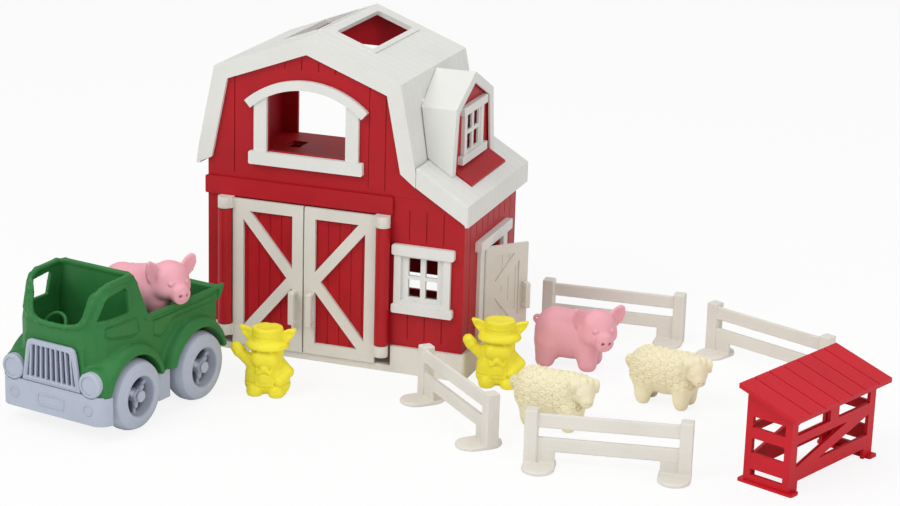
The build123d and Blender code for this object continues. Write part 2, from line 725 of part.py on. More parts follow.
for side, hand in ((-1, "left"), (1, "right")):
    with BuildPart() as leaf:
        with BuildSketch(side_plane(door_y + door_thick / 2)):
            with Locations((side * (leaf_outer + leaf_inner) / 2, leaf_mid_z)):
                Rectangle(leaf_outer - leaf_inner, door_top - door_bottom)
                Rectangle(leaf_outer - leaf_inner - 2 * door_rail, door_top - door_bottom - 2 * door_rail,
                          mode=Mode.SUBTRACT)
            corner_x = side * (leaf_outer - door_rail + 1)
            middle_x = side * (leaf_inner + door_rail - 1)
            for corner_z in (door_top - door_rail + 1, door_bottom + door_rail - 1):
                with BuildLine():
                    Polyline(*brace_between((corner_x, corner_z), (middle_x, leaf_mid_z), brace_wide), close=True)
                make_face()
            with Locations((side * (leaf_outer + leaf_inner) / 2, leaf_mid_z)):
                Rectangle(leaf_outer - leaf_inner, door_top - door_bottom, mode=Mode.INTERSECT)
        extrude(amount=door_thick)
        for low_z in (column_bottom - part_play - knuckle_high, column_top + part_play):
            with BuildSketch(Plane.XY.offset(low_z)):
                with Locations((side * column_x, column_y)):
                    Circle(column_radius)
                with Locations((side * (leaf_outer + column_x) / 2, (column_y + door_y) / 2)):
                    Rectangle(column_x - leaf_outer + 1, door_y - column_y + door_thick)
            extrude(amount=knuckle_high)
        for low_z in (column_bottom - part_play, column_top + part_play - pin_long):
            with BuildSketch(Plane.XY.offset(low_z)):
                with Locations((side * column_x, column_y)):
                    Circle(pin_radius)
            extrude(amount=pin_long)
    save(leaf, f"door_{hand}_frame")
    with BuildPart() as panel:
        with BuildSketch(side_plane(door_y + door_thick / 2 + 0.05 + panel_thick)):
            with Locations((side * (leaf_outer + leaf_inner - 1.6) / 2, leaf_mid_z)):
                Rectangle(leaf_outer - leaf_inner - 3.2, door_top - door_bottom - 3)
        extrude(amount=panel_thick)
        with BuildSketch(side_plane(door_y + door_thick / 2 + 0.05)):
            for x in plank_grooves(leaf_inner, leaf_outer - 4, 9.6):
                with Locations((side * x, leaf_mid_z)):
                    Rectangle(0.8, door_top - door_bottom)
        extrude(amount=-0.5, mode=Mode.SUBTRACT)
    save(panel, f"door_{hand}_panel")
    with BuildPart() as handle:
        with BuildSketch(Plane(origin=(side * handle_x, 0, 0), x_dir=(0, 1, 0), z_dir=(1, 0, 0))):
            with Locations((door_y - door_thick / 2 - 0.05 - (handle_gap + handle_bar) / 2, handle_z)):
                RectangleRounded(handle_gap + handle_bar, handle_long, 1.2)
            with Locations((door_y - door_thick / 2 - 0.05 - handle_gap / 2 + 1, handle_z)):
                Rectangle(handle_gap + 2, handle_long - 2 * handle_bar, mode=Mode.SUBTRACT)
        extrude(amount=2.2, both=True)
    save(handle, f"door_{hand}_handle")

# Side door: a frame on the wall with a pin hole in its header and sill, and a leaf that
# turns on those pins
side_hinge_x = barn_right + 3.2
side_hinge_y = side_door_front - 0.6
side_pin_radius = 1.3
side_barrel_radius = 2.4
frame_thick = 2.8
header_high = 8.4
with BuildPart() as side_door_frame:
    with BuildSketch(end_plane(barn_right + seat_gap)):
        with Locations((side_door_middle, (side_door_bottom + side_door_top) / 2)):
            Rectangle(side_door_wide + 28, side_door_height + 4)
            Rectangle(side_door_wide + 8, side_door_height, mode=Mode.SUBTRACT)
    extrude(amount=frame_thick)
    with BuildSketch(end_plane(barn_right + seat_gap)):
        with Locations((side_door_middle - 1, side_door_top + header_high / 2)):
            RectangleRounded(side_door_wide + 38, header_high, 1.2)
        with Locations((side_door_middle, side_door_bottom - 1.1)):
            Rectangle(side_door_wide + 28, 2.2)
    extrude(amount=side_hinge_x + side_barrel_radius - barn_right - seat_gap)
    with BuildSketch(Plane.XY.offset(side_door_bottom - 3)):
        with Locations((side_hinge_x, side_hinge_y)):
            Circle(side_pin_radius + hinge_play)
    extrude(amount=side_door_height + 6 + 0.6, mode=Mode.SUBTRACT)
save(side_door_frame, "side_door_frame")

side_leaf_long = side_door_wide - 1.6
side_leaf_low = side_door_bottom + part_play
side_leaf_high = side_door_top - part_play
side_leaf_mid = (side_leaf_low + side_leaf_high) / 2
side_leaf_tall = side_leaf_high - side_leaf_low
side_rail = 8.0
with BuildPart() as side_door:
    with BuildSketch(end_plane(-1.3)):
        with Locations((side_leaf_long / 2, side_leaf_mid)):
            Rectangle(side_leaf_long, side_leaf_tall)
    extrude(amount=1.4)
    with BuildSketch(end_plane(0.1)):
        for y in plank_grooves(side_rail, side_leaf_long - side_rail, 6.2):
            with Locations((y, side_leaf_mid)):
                Rectangle(0.7, side_leaf_tall)
    extrude(amount=-0.4, mode=Mode.SUBTRACT)
    with BuildSketch(end_plane(-0.1)):
        with Locations((side_leaf_long / 2, side_leaf_mid)):
            Rectangle(side_leaf_long, side_leaf_tall)
            Rectangle(side_leaf_long - 2 * side_rail, side_leaf_tall - 2 * side_rail, mode=Mode.SUBTRACT)
        for corner_z in (side_leaf_high - side_rail + 1, side_leaf_low + side_rail - 1):
            with BuildLine():
                Polyline(*brace_between((side_leaf_long - side_rail + 1, corner_z), (side_rail - 1, side_leaf_mid), 7.0),
                         close=True)
            make_face()
        with Locations((side_leaf_long / 2, side_leaf_mid)):
            Rectangle(side_leaf_long, side_leaf_tall, mode=Mode.INTERSECT)
    extrude(amount=1.4)
    with BuildSketch(Plane.XY.offset(side_leaf_low)):
        Circle(side_barrel_radius)
    extrude(amount=side_leaf_tall)
    for low_z in (side_leaf_low - 2.0, side_leaf_high):
        with BuildSketch(Plane.XY.offset(low_z)):
            Circle(side_pin_radius)
        extrude(amount=2.0)
side_door.part.move(Location((side_hinge_x, side_hinge_y, 0), (0, 0, -side_door_open)))
save(side_door, "side_door")

with BuildPart() as side_door_handle:
    with BuildSketch(Plane(origin=(0, side_leaf_long - 3.4, 0), x_dir=(1, 0, 0), z_dir=(0, -1, 0))):
        with Locations((1.35 + (handle_gap + handle_bar) / 2, side_leaf_mid - 6)):
            RectangleRounded(handle_gap + handle_bar, 21, 1.2)
        with Locations((1.35 + handle_gap / 2 - 1, side_leaf_mid - 6)):
            Rectangle(handle_gap + 2, 21 - 2 * handle_bar, mode=Mode.SUBTRACT)
    extrude(amount=2.0, both=True)
side_door_handle.part.move(Location((side_hinge_x, side_hinge_y, 0), (0, 0, -side_door_open)))
save(side_door_handle, "side_door_handle")

# Fence panels: two channel posts with half-round feet, joined by two flanged rails
for name, place in fence_places.items():
    with BuildPart() as fence:
        for x in (0, fence_long):
            with BuildSketch(Plane.XY):
                with Locations((x, 0)):
                    Rectangle(fence_post, fence_depth)
            extrude(amount=fence_high)
            with BuildSketch(Plane.XY.offset(foot_thick)):
                with Locations((x, (fence_depth - fence_web) / 2 + fence_web)):
                    Rectangle(fence_post - 2 * fence_web, fence_depth)
            extrude(amount=fence_high - foot_thick - post_cap, mode=Mode.SUBTRACT)
            inward = 1 if x == 0 else -1
            with BuildSketch(Plane.XY):
                with Locations((x + inward * foot_inward, -foot_outward)):
                    RectangleRounded(foot_wide, foot_long, foot_wide / 2 - 0.6)
            extrude(amount=foot_thick)
            with BuildSketch(Plane.XY):
                with Locations((x + inward * foot_inward, (rail_thick - fence_depth) / 2)):
                    Rectangle(foot_wide - 1.2, fence_web)
            extrude(amount=lower_rail_z)
        for z in (upper_rail_z, lower_rail_z):
            with BuildSketch(Plane.XY.offset(z - rail_high / 2)):
                with Locations((fence_long / 2, (rail_thick - fence_depth) / 2)):
                    Rectangle(fence_long - fence_post, rail_thick)
            extrude(amount=rail_high)
    save(stand(fence, place), name)

# Shelter: a box of slatted walls on flanged feet under a sloping planked roof
shelter_fall = (shelter_high - shelter_low) / shelter_deep
with BuildPart() as shelter_frame:
    with BuildSketch(Plane.XY):
        with Locations((shelter_long / 2, -shelter_deep / 2)):
            Rectangle(shelter_long, shelter_deep)
            Rectangle(shelter_long - 2 * shelter_skin, shelter_deep - 2 * shelter_skin, mode=Mode.SUBTRACT)
    extrude(amount=shelter_high)
    with BuildSketch(end_plane(-1)):
        with BuildLine():
            Polyline((1, shelter_high), (-shelter_deep - 1, shelter_low - shelter_fall), (-shelter_deep - 1, shelter_high + 9),
                     (1, shelter_high + 9), close=True)
        make_face()
    extrude(amount=shelter_long + 2, mode=Mode.SUBTRACT)
    with BuildSketch(end_plane(-1)):
        for z, high in ((46.0, 8.0), (28.5, 11.0), (9.0, 4.4)):
            with Locations((-shelter_deep / 2, z)):
                Rectangle(shelter_deep - 11, high)
    extrude(amount=shelter_long + 2, mode=Mode.SUBTRACT)
    with BuildSketch(side_plane(1)):
        with Locations((shelter_long / 2, 4)):
            Rectangle(shelter_long - 22, 8.2)
        for x in (shelter_long / 4 + 1, shelter_long * 3 / 4 - 1):
            with Locations((x, 47.5)):
                Rectangle(shelter_long / 2 - 13, 10)
        with BuildLine():
            Polyline((8, 36), (8, 19), (shelter_long - 36, 36), close=True)
        make_face()
        with BuildLine():
            Polyline((shelter_long - 8, 18), (shelter_long - 8, 34), (36, 18), close=True)
        make_face()
    extrude(amount=shelter_deep + 4, both=True, mode=Mode.SUBTRACT)
    for x in (3, shelter_long - 3):
        with BuildSketch(Plane.XY):
            with Locations((x, -shelter_deep / 2)):
                RectangleRounded(10, shelter_deep + 8, 2)
                Rectangle(4.6, shelter_deep - 2 * shelter_skin - 4, mode=Mode.SUBTRACT)
        extrude(amount=2.0)
save(stand(shelter_frame, shelter_place), "shelter_frame")

with BuildPart() as shelter_roof:
    with BuildSketch(end_plane(-shelter_lap)):
        with BuildLine():
            Polyline(
                (3, shelter_high + 3 * shelter_fall + 0.1),
                (3, shelter_high + 3 * shelter_fall + 0.1 + shelter_roof_thick),
                (-shelter_deep - shelter_lap, shelter_low - shelter_lap * shelter_fall + 0.1 + shelter_roof_thick),
                (-shelter_deep - shelter_lap, shelter_low - shelter_lap * shelter_fall + 0.1), close=True,
            )
        make_face()
    extrude(amount=shelter_long + 2 * shelter_lap)
    for step in range(1, 7):
        with BuildSketch(Plane(origin=(-shelter_lap + step * (shelter_long + 2 * shelter_lap) / 7, 0, 0),
                               x_dir=(0, 1, 0), z_dir=(1, 0, 0))):
            with BuildLine():
                Polyline(
                    (4, shelter_high + 4 * shelter_fall + shelter_roof_thick - 0.7),
                    (4, shelter_high + 4 * shelter_fall + shelter_roof_thick + 2),
                    (-shelter_deep - shelter_lap - 1, shelter_low - (shelter_lap + 1) * shelter_fall + shelter_roof_thick + 2),
                    (-shelter_deep - shelter_lap - 1, shelter_low - (shelter_lap + 1) * shelter_fall + shelter_roof_thick - 0.7),
                    close=True,
                )
            make_face()
        extrude(amount=0.5, both=True, mode=Mode.SUBTRACT)
save(stand(shelter_roof, shelter_place), "shelter_roof")


def truck_plane(y):
    """Plane along the truck's side at a distance to its left, with X forward and Z up."""
    return Plane(origin=(0, y, 0), x_dir=(1, 0, 0), z_dir=(0, -1, 0))


def truck_end(x):
    """Plane across the truck, with Y to its left and Z up."""
    return Plane(origin=(x, 0, 0), x_dir=(0, 1, 0), z_dir=(1, 0, 0))


# Truck body: bed and cab in one moulding, open at the top, with round fenders
axle_places = (0.0, wheel_base)
body_bottom = 34.4
cowl_wall = 3.4
with BuildPart() as truck_hollow:
    with BuildSketch(truck_end(cab_back_top - 3)):
        with BuildLine():
            Polyline(
                (-body_half + body_skin, cab_floor_z), (-body_half + body_skin, bed_rail_z),
                (-cab_half_top + body_skin, cab_top_z + 1), (cab_half_top - body_skin, cab_top_z + 1),
                (body_half - body_skin, bed_rail_z), (body_half - body_skin, cab_floor_z), close=True,
            )
        make_face()
    extrude(amount=nose_x - cab_back_top)
    with BuildSketch(truck_plane(0)):
        with BuildLine():
            Polyline(
                (bed_front + body_skin, cab_floor_z), (cab_back_top - 1, cab_top_z + 1), (nose_x, cab_top_z + 1),
                (nose_x, cowl_z), (cowl_x - cowl_wall, cowl_z), (cowl_x - cowl_wall, cab_floor_z), close=True,
            )
        make_face()
    extrude(amount=body_half, both=True, mode=Mode.INTERSECT)
    with BuildSketch(Plane.XY.offset(cab_floor_z)):
        with Locations((nose_x - 40, 0)):
            RectangleRounded(80 - 2 * body_skin, 2 * (body_half - body_skin), nose_round - body_skin)
    extrude(amount=cab_top_z, mode=Mode.INTERSECT)
    with BuildSketch(Plane.XY.offset(bed_floor_z)):
        with Locations(((bed_back + bed_front) / 2, 0)):
            Rectangle(bed_front - bed_back - 2 * body_skin, 2 * (body_half - body_skin))
    extrude(amount=bed_rail_z)
    for x in axle_places:
        for side in (-1, 1):
            with BuildSketch(truck_plane(side * (well_inner - body_skin))):
                with Locations((x, tyre_radius)):
                    Circle(well_radius + body_skin)
            extrude(amount=-side * body_half, mode=Mode.SUBTRACT)
with BuildPart() as truck_body:
    with BuildSketch(truck_plane(body_half)):
        with BuildLine():
            Polyline(
                (bed_back, body_bottom), (bed_back - 1.4, bed_rail_z), (bed_front, bed_rail_z - 1.0),
                (cab_back_top - 5, cab_top_z), (cab_back_top + cab_roof_long, cab_top_z - 2), (cowl_x, cowl_z),
                (nose_x, cowl_z - 12), (nose_x, body_bottom), close=True,
            )
        make_face()
    extrude(amount=2 * body_half)
    with BuildSketch(truck_end(bed_back - 4)):
        with BuildLine():
            Polyline(
                (-body_half, 0), (-body_half, bed_rail_z), (-cab_half_top, cab_top_z), (cab_half_top, cab_top_z),
                (body_half, bed_rail_z), (body_half, 0), close=True,
            )
        make_face()
    extrude(amount=nose_x - bed_back + 8, mode=Mode.INTERSECT)
    with BuildSketch(Plane.XY.offset(body_bottom)):
        with Locations((nose_x - 40, 0)):
            RectangleRounded(80, 2 * body_half, nose_round)
        with Locations(((bed_back + nose_x) / 2 - 22, 0)):
            Rectangle(nose_x - bed_back - 40, 2 * body_half)
    extrude(amount=cab_top_z, mode=Mode.INTERSECT)
    for x in axle_places:
        for side in (-1, 1):
            with BuildSketch(truck_plane(side * (body_half - 14))):
                with Locations((x, tyre_radius)):
                    Circle(fender_radius)
            extrude(amount=-side * 14)
            with BuildSketch(truck_plane(side * body_half)):
                with Locations((x, tyre_radius)):
                    Circle(fender_radius)
            extrude(amount=-side * fender_bulge, taper=fender_slope)
    with BuildSketch(truck_plane(0)):
        with Locations((wheel_base / 2, 0)):
            Rectangle(wheel_base + 3 * fender_radius, 2 * body_bottom)
        with Locations((nose_x, 0)):
            Rectangle(2 * fender_radius, 2 * cab_top_z, align=(Align.MIN, Align.CENTER))
    extrude(amount=body_half + 20, both=True, mode=Mode.SUBTRACT)
    for side in (-1, 1):
        with BuildSketch(truck_plane(side * well_inner)):
            with Locations((0, tyre_radius), (wheel_base, tyre_radius)):
                Circle(well_radius)
        extrude(amount=-side * body_half, mode=Mode.SUBTRACT)
    add(truck_hollow.part, mode=Mode.SUBTRACT)
    with BuildSketch(truck_plane(body_half + 1)):
        with BuildLine():
            Polyline(
                (cab_back_top + 6, cab_top_z - 28), (cab_back_top + 8, cab_top_z - 9),
                (cab_back_top + cab_roof_long - 4.5, cab_top_z - 9.6), (cowl_x - 10.5, cab_top_z - 28), close=True,
            )
        make_face()
    extrude(amount=2 * body_half + 2, mode=Mode.SUBTRACT)
    with BuildSketch(truck_end(nose_x - 2.4)):
        with Locations((headlight_y, headlight_z), (-headlight_y, headlight_z)):
            Circle(headlight_radius + 0.6)
    extrude(amount=20, mode=Mode.SUBTRACT)
save(stand(truck_body, truck_place), "truck_body")

# Chassis: a channel with the axle bores, the side steps and the wrapped bumper
chassis_half = 23.0
chassis_low = 20.0
chassis_top = body_bottom - 0.2
step_low = 12.0
step_long = 16.0
bumper_deep = 6.6
bumper_end = 6.0
bumper_round = 11.0
with BuildPart() as truck_chassis:
    with BuildSketch(Plane.XY.offset(chassis_low)):
        with Locations(((bed_back + bumper_x) / 2 - 2, 0)):
            Rectangle(bumper_x - bed_back - 8, 2 * chassis_half)
    extrude(amount=chassis_top - chassis_low)
    with BuildSketch(Plane.XY.offset(chassis_low)):
        with Locations((wheel_base / 2, 0)):
            Rectangle(wheel_base - 16, 2 * chassis_half - 6)
        with Locations((bed_back + 15, 0)):
            Rectangle(18, 2 * chassis_half - 6)
    extrude(amount=chassis_top - chassis_low - 3, mode=Mode.SUBTRACT)
    with BuildSketch(Plane.XY.offset(step_low)):
        with Locations((wheel_base / 2, (body_half + 3 + chassis_half - 3) / 2), (wheel_base / 2, -(body_half + chassis_half) / 2)):
            RectangleRounded(step_long, body_half - chassis_half + 6, 3)
    extrude(amount=chassis_top - step_low)
    with BuildSketch(Plane.XY.offset(bumper_bottom)):
        with Locations((bumper_x - 30, 0)):
            RectangleRounded(60, 2 * bumper_half, bumper_round)
        with Locations((bumper_x - bumper_deep, 0)):
            Rectangle(60, 2 * (bumper_half - bumper_end), align=(Align.MAX, Align.CENTER), mode=Mode.SUBTRACT)
        with Locations((wheel_base + tyre_radius + 1.6, 0)):
            Rectangle(60, 2 * bumper_half + 2, align=(Align.MAX, Align.CENTER), mode=Mode.SUBTRACT)
    extrude(amount=bumper_top - bumper_bottom)
    with BuildSketch(Plane.XY.offset(chassis_top)):
        with Locations((nose_x - 20, 0)):
            Rectangle(40.4, 2 * bumper_half + 2)
    extrude(amount=20, mode=Mode.SUBTRACT)
    with BuildSketch(truck_end(nose_x - 4)):
        with Locations((headlight_y, headlight_z), (-headlight_y, headlight_z)):
            Circle(headlight_radius + 0.3)
    extrude(amount=30, mode=Mode.SUBTRACT)
    with BuildSketch(truck_plane(0)):
        with Locations((0, tyre_radius), (wheel_base, tyre_radius)):
            Circle(axle_radius + axle_play)
    extrude(amount=chassis_half + 1, both=True, mode=Mode.SUBTRACT)
save(stand(truck_chassis, truck_place), "truck_chassis")

# Grille: a tapered frame with upright bars in front of a dark back
grille_taper = 4.0
grille_deep = 3.2
bar_pitch = (2 * grille_half - 10) / grille_gaps
with BuildPart() as truck_grille:
    with BuildSketch(truck_end(nose_x)):
        with BuildLine():
            Polyline(
                (-grille_half - 2, bumper_top + 0.3), (-grille_half + grille_taper, grille_top),
                (grille_half - grille_taper, grille_top), (grille_half + 2, bumper_top + 0.3), close=True,
            )
        make_face()
    extrude(amount=grille_deep)
    with BuildSketch(truck_end(nose_x + 0.8)):
        for step in range(grille_gaps):
            with Locations(((step - (grille_gaps - 1) / 2) * bar_pitch, (bumper_top + grille_top) / 2 - 0.6)):
                Rectangle(bar_pitch - grille_bar, grille_top - bumper_top - 9)
    extrude(amount=grille_deep, mode=Mode.SUBTRACT)
    with BuildSketch(truck_end(nose_x - 1)):
        with Locations((headlight_y, headlight_z), (-headlight_y, headlight_z)):
            Circle(headlight_radius + 0.3)
    extrude(amount=grille_deep + 2, mode=Mode.SUBTRACT)
save(stand(truck_grille, truck_place), "truck_grille")

# Headlights: round lamps with a raised rim
for name, y in (("headlight_left", headlight_y), ("headlight_right", -headlight_y)):
    with BuildPart() as headlight:
        with BuildSketch(truck_end(nose_x - 2.4)):
            with Locations((y, headlight_z)):
                Circle(headlight_radius)
        extrude(amount=7)
        chamfer(headlight.faces().sort_by(Axis.X)[-1].edges(), 1.2)
        with BuildSketch(truck_end(nose_x + 4.6)):
            with Locations((y, headlight_z)):
                Circle(headlight_radius - 2.6)
        extrude(amount=-0.8, mode=Mode.SUBTRACT)
    save(stand(headlight, truck_place), name)

# Wheels: wide round tyres with a deep recess, three spokes and a cap, on steel axles
track_outer = 52.4
hub_radius = 5.6
recess_radius = 15.4
recess_deep = 9.0
spoke_wide = 5.0
for name, x in (("front", wheel_base), ("rear", 0.0)):
    with BuildPart() as axle:
        with BuildSketch(truck_plane(0)):
            with Locations((x, tyre_radius)):
                Circle(axle_radius)
        extrude(amount=track_outer - 4, both=True)
    save(stand(axle, truck_place), name + "_axle")
    for hand, side in (("left", 1), ("right", -1)):
        with BuildPart() as wheel:
            with BuildSketch(truck_plane(side * track_outer)):
                with Locations((x, tyre_radius)):
                    Circle(tyre_radius)
            extrude(amount=side * tyre_wide)
            fillet(wheel.edges().filter_by(GeomType.CIRCLE), tyre_round)
            with BuildSketch(truck_plane(side * track_outer)):
                with Locations((x, tyre_radius)):
                    Circle(recess_radius)
            extrude(amount=side * recess_deep, taper=8, mode=Mode.SUBTRACT)
            with BuildSketch(truck_plane(side * (track_outer - recess_deep))):
                with Locations((x, tyre_radius)):
                    Circle(hub_radius)
            extrude(amount=-side * (recess_deep - 1.4))
            with BuildSketch(truck_plane(side * (track_outer - recess_deep))):
                with Locations((x, tyre_radius)):
                    for turn in (90, 210, 330):
                        with Locations(Location((0, 0), turn)):
                            Rectangle(recess_radius - 0.4, spoke_wide, align=(Align.MIN, Align.CENTER))
            extrude(amount=-side * (recess_deep - 4))
            with BuildSketch(truck_plane(side * (track_outer + 1))):
                with Locations((x, tyre_radius)):
                    Circle(axle_radius)
            extrude(amount=side * (tyre_wide + 2), mode=Mode.SUBTRACT)
        save(stand(wheel, truck_place), name + "_wheel_" + hand)
        with BuildPart() as cap:
            with BuildSketch(truck_plane(side * (track_outer - 1.4))):
                with Locations((x, tyre_radius)):
                    Circle(hub_radius - 1.2)
            extrude(amount=-side * 1.6)
            chamfer(cap.faces().sort_by(Axis.Y)[-1 if side == 1 else 0].edges(), 0.7)
        save(stand(cap, truck_place), name + "_cap_" + hand)


def pod(start, end, start_radius, end_radius):
    """Round body between two points: a ball at each end and a taper that runs smoothly into both."""
    reach = Vector(*end) - Vector(*start)
    lean = asin((start_radius - end_radius) / reach.length)
    low, high = (lean - pi / 2) / 2, (lean + pi / 2) / 2
    top = reach.length
    with BuildPart() as piece:
        with BuildSketch(Plane.XZ):
            with BuildLine():
                ThreePointArc(
                    (0, -start_radius), (start_radius * cos(low), start_radius * sin(low)),
                    (start_radius * cos(lean), start_radius * sin(lean)),
                )
                Line(
                    (start_radius * cos(lean), start_radius * sin(lean)),
                    (end_radius * cos(lean), top + end_radius * sin(lean)),
                )
                ThreePointArc(
                    (end_radius * cos(lean), top + end_radius * sin(lean)),
                    (end_radius * cos(high), top + end_radius * sin(high)), (0, top + end_radius),
                )
                Line((0, top + end_radius), (0, -start_radius))
            make_face()
        revolve(axis=Axis.Z)
    return piece.part.moved(Plane(origin=start, z_dir=reach).location)


def trim_to_floor(size):
    """Cut a figure's feet flat at the floor."""
    with Locations((0, 0, -size / 2)):
        Box(2 * size, 2 * size, size, mode=Mode.SUBTRACT)


def flap(points, thick, centre, turn):
    """Flat plate of a given outline, set at a centre and turned."""
    with BuildPart() as piece:
        with BuildSketch(Plane.XZ):
            with BuildLine():
                Polyline(*points, close=True)
            make_face()
        extrude(amount=thick / 2, both=True)
    return piece.part.moved(Location(centre, turn))


def build_pig(name, place, lift):
    """Pig with a round barrel, thick legs, a curled tail and its head turned to its right."""
    half = pig_long / 2
    with BuildPart() as head:
        add(pod((-3, 0, 0), (2, 0, -1), 13.8, 12.8))
        with Locations(Location((12, 0, -2), (0, 90, 0))):
            Cone(10.2, 6.6, 15)
        with Locations(Location((19.5, 2.6, -1.6), (0, 90, 0)), Location((19.5, -2.6, -1.6), (0, 90, 0))):
            Cylinder(1.1, 2.4, mode=Mode.SUBTRACT)
        for side in (-1, 1):
            add(flap(((-4.6, 0), (4.6, 0), (3.8, 7), (0.4, 11)), 2.8, (-1, side * 10.6, 7.4), (side * 34, -10, side * 50)))
            with Locations((10.4, side * 5.6, 4.4)):
                Sphere(1.3)
    with BuildPart() as pig:
        add(pod((-half + 19.6, 0, pig_axis_z), (6, 0, pig_axis_z), pig_girth - 1, pig_girth))
        for side in (-1, 1):
            add(pod((-half + 12.5, side * 7, pig_axis_z - 5), (-half + 10.6, side * 9, 5.4), 10.4, 6.8))
            add(pod((12, side * 7.2, pig_axis_z - 7), (14, side * 8.6, 5.4), 9, 6.8))
        add(head.part.moved(Location((0, 0, 0), (0, 8, 0))).moved(Location((20, -7, pig_axis_z + 7), (0, 0, -54))))
        with Locations(Location((-half + 1.6, 0, pig_axis_z + 7), (80, 0, 20))):
            Torus(3, 1.5)
        trim_to_floor(pig_long)
    stand_figure(pig, pig_scale, place, lift, name)


def build_sheep(name, place):
    """Sheep with knobs of wool in staggered rings, a smooth face turned to its right and curled horns."""
    half = sheep_long / 2
    with BuildPart() as head:
        add(pod((-3, 0, 0), (6, 0, -1), 10, 6.6))
        for side in (-1, 1):
            add(pod((-3, side * 8, 2), (-5, side * 17, 0), 3.6, 2.6))
            with Locations(Location((-1, side * 9.4, 4.6), (80, 0, 0))):
                Torus(4.2, 2.2)
            with Locations((6.6, side * 5.4, 3.6)):
                Sphere(1.1)
    with BuildPart() as sheep:
        add(pod((-half + 14, 0, sheep_axis_z), (half - 22, 0, sheep_axis_z), sheep_girth - 2, sheep_girth - 2.6))
        for ring, (x, reach, knobs) in enumerate(wool_rings):
            for step in range(knobs):
                around = radians(360 * (step + ring % 2 / 2) / knobs)
                with Locations((x, reach * sin(around), sheep_axis_z + reach * cos(around))):
                    Sphere(wool_radius)
        for side in (-1, 1):
            for x in (-half + 12, half - 18):
                add(pod((x, side * 7.4, sheep_axis_z - 9), (x, side * 8.6, 4.2), 7.4, 5.4))
        add(pod((-half + 3, 0, sheep_axis_z + 1), (-half - 4, 0, sheep_axis_z + 3), 5.4, 4))
        add(head.part.moved(Location((0, 0, 0), (0, 26, 0))).moved(Location((half - 7, -6, sheep_axis_z + 6), (0, 0, -50))))
        trim_to_floor(sheep_long)
    stand_figure(sheep, sheep_scale, place, 0, name)


def upright(points, centre):
    """Round body swept about the upright axis from a half outline of straight runs."""
    with BuildPart() as piece:
        with BuildSketch(Plane.XZ):
            with BuildLine():
                Polyline(*points, close=True)
            make_face()
        revolve(axis=Axis.Z)
    return piece.part.moved(Location(centre))


def build_farmer(name, place):
    """Animal farmer in dungarees, neckerchief and brimmed hat, one arm raised and the other on its hip."""
    with BuildPart() as torso:
        for z, wide, deep in farmer_sections:
            with BuildSketch(Plane.XY.offset(z)):
                Ellipse(wide, deep)
        loft()
    with BuildPart() as farmer:
        add(torso.part)
        for x in (-farmer_stride, farmer_stride):
            with Locations((x, 0, 9)):
                Cylinder(9.2, 18)
            add(pod((x, 1.5, 5), (x, -7, 5), 9, 7.6))
        add(upright(((0, 27), (9, 27.4), (13, 32), (13.6, 40), (12.8, 48), (0, 49)), (0, 0, 0)))
        add(pod((-5.6, -8.6, 33.6), (5.6, -8.6, 33.6), 7.6, 7.6))
        add(upright(((0, 46.6), (17.4, 43.6), (17.9, 45.4), (12.4, 50.4), (11.4, 60.6), (9.6, 62), (7.4, 60), (0, 59.4)), (0, 0, 0)))
        for side in (-1, 1):
            with BuildSketch(Plane.XZ.offset(-2.6)):
                with BuildLine():
                    Polyline((side * 10, 56), (side * 21.6, 59.4), (side * 21, 56.4), (side * 16.4, 46.5), (side * 10, 46.5), close=True)
                make_face()
            extrude(amount=5.2)
            with Locations((side * 5.4, -12.9, 41)):
                Sphere(1.2)
            with Locations((side * 2.6, -16.6, 34.4)):
                Sphere(1.2, mode=Mode.SUBTRACT)
        add(pod((-12, 0, 22), (-24.4, -2, 37), 5.6, 4.6))
        add(pod((-25, -2, 37.6), (-27, -2.6, 40.4), 5.6, 5.2))
        add(pod((12, 0, 28), (18.6, -2, 21.4), 5.8, 5))
        add(pod((18.6, -2, 21.4), (13.4, -8.4, 15.4), 5, 4.4))
        add(upright(((0, 25), (12.4, 25.4), (14, 27.6), (12.4, 30), (0, 30)), (0, 0, 0)))
        with BuildSketch(Plane.XZ.offset(11)):
            with BuildLine():
                Polyline((0, 27), (-7, 20.6), (-2.6, 21.2), (0, 23.4), (2.6, 21.2), (7, 20.6), close=True)
            make_face()
        extrude(amount=2.8)
        with BuildSketch(Plane.XZ.offset(11.4)):
            with Locations((0, 18)):
                RectangleRounded(15, 11, 2)
        extrude(amount=1.9)
        trim_to_floor(farmer_high)
    stand_figure(farmer, farmer_scale, place, 0, name)


for name, place in farmer_places.items():
    build_farmer(name, place)
for name, place in sheep_places.items():
    build_sheep(name, place)
build_pig("pig_in_pen", pen_pig_place, 0)
truck_turn = radians(truck_place[2])
bed_pig_place = (
    truck_place[0] + bed_pig_x * cos(truck_turn) - bed_pig_y * sin(truck_turn),
    truck_place[1] + bed_pig_x * sin(truck_turn) + bed_pig_y * cos(truck_turn),
    truck_place[2] + bed_pig_turn,
)
build_pig("pig_in_truck", bed_pig_place, bed_floor_z + 0.3)
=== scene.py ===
"""Toy farm playset: the moulded look of the barn, its pickup truck, pens and farm figures."""

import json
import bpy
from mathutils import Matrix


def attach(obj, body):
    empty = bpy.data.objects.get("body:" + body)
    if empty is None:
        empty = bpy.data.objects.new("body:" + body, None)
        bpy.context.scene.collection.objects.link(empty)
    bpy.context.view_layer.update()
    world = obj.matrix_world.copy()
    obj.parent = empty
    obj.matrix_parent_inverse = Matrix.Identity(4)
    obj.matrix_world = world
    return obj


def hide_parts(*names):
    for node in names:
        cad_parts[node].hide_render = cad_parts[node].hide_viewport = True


bl_info = {
    "name": "Toy farm playset",
    "version": (1, 0, 0),
    "blender": (4, 5, 0),
    "location": "3D View > Sidebar > Farm",
    "description": "Dresses the packed toy farm playset with moulded plastic surfaces and a studio",
    "category": "Object",
}

from math import cos, radians, sin

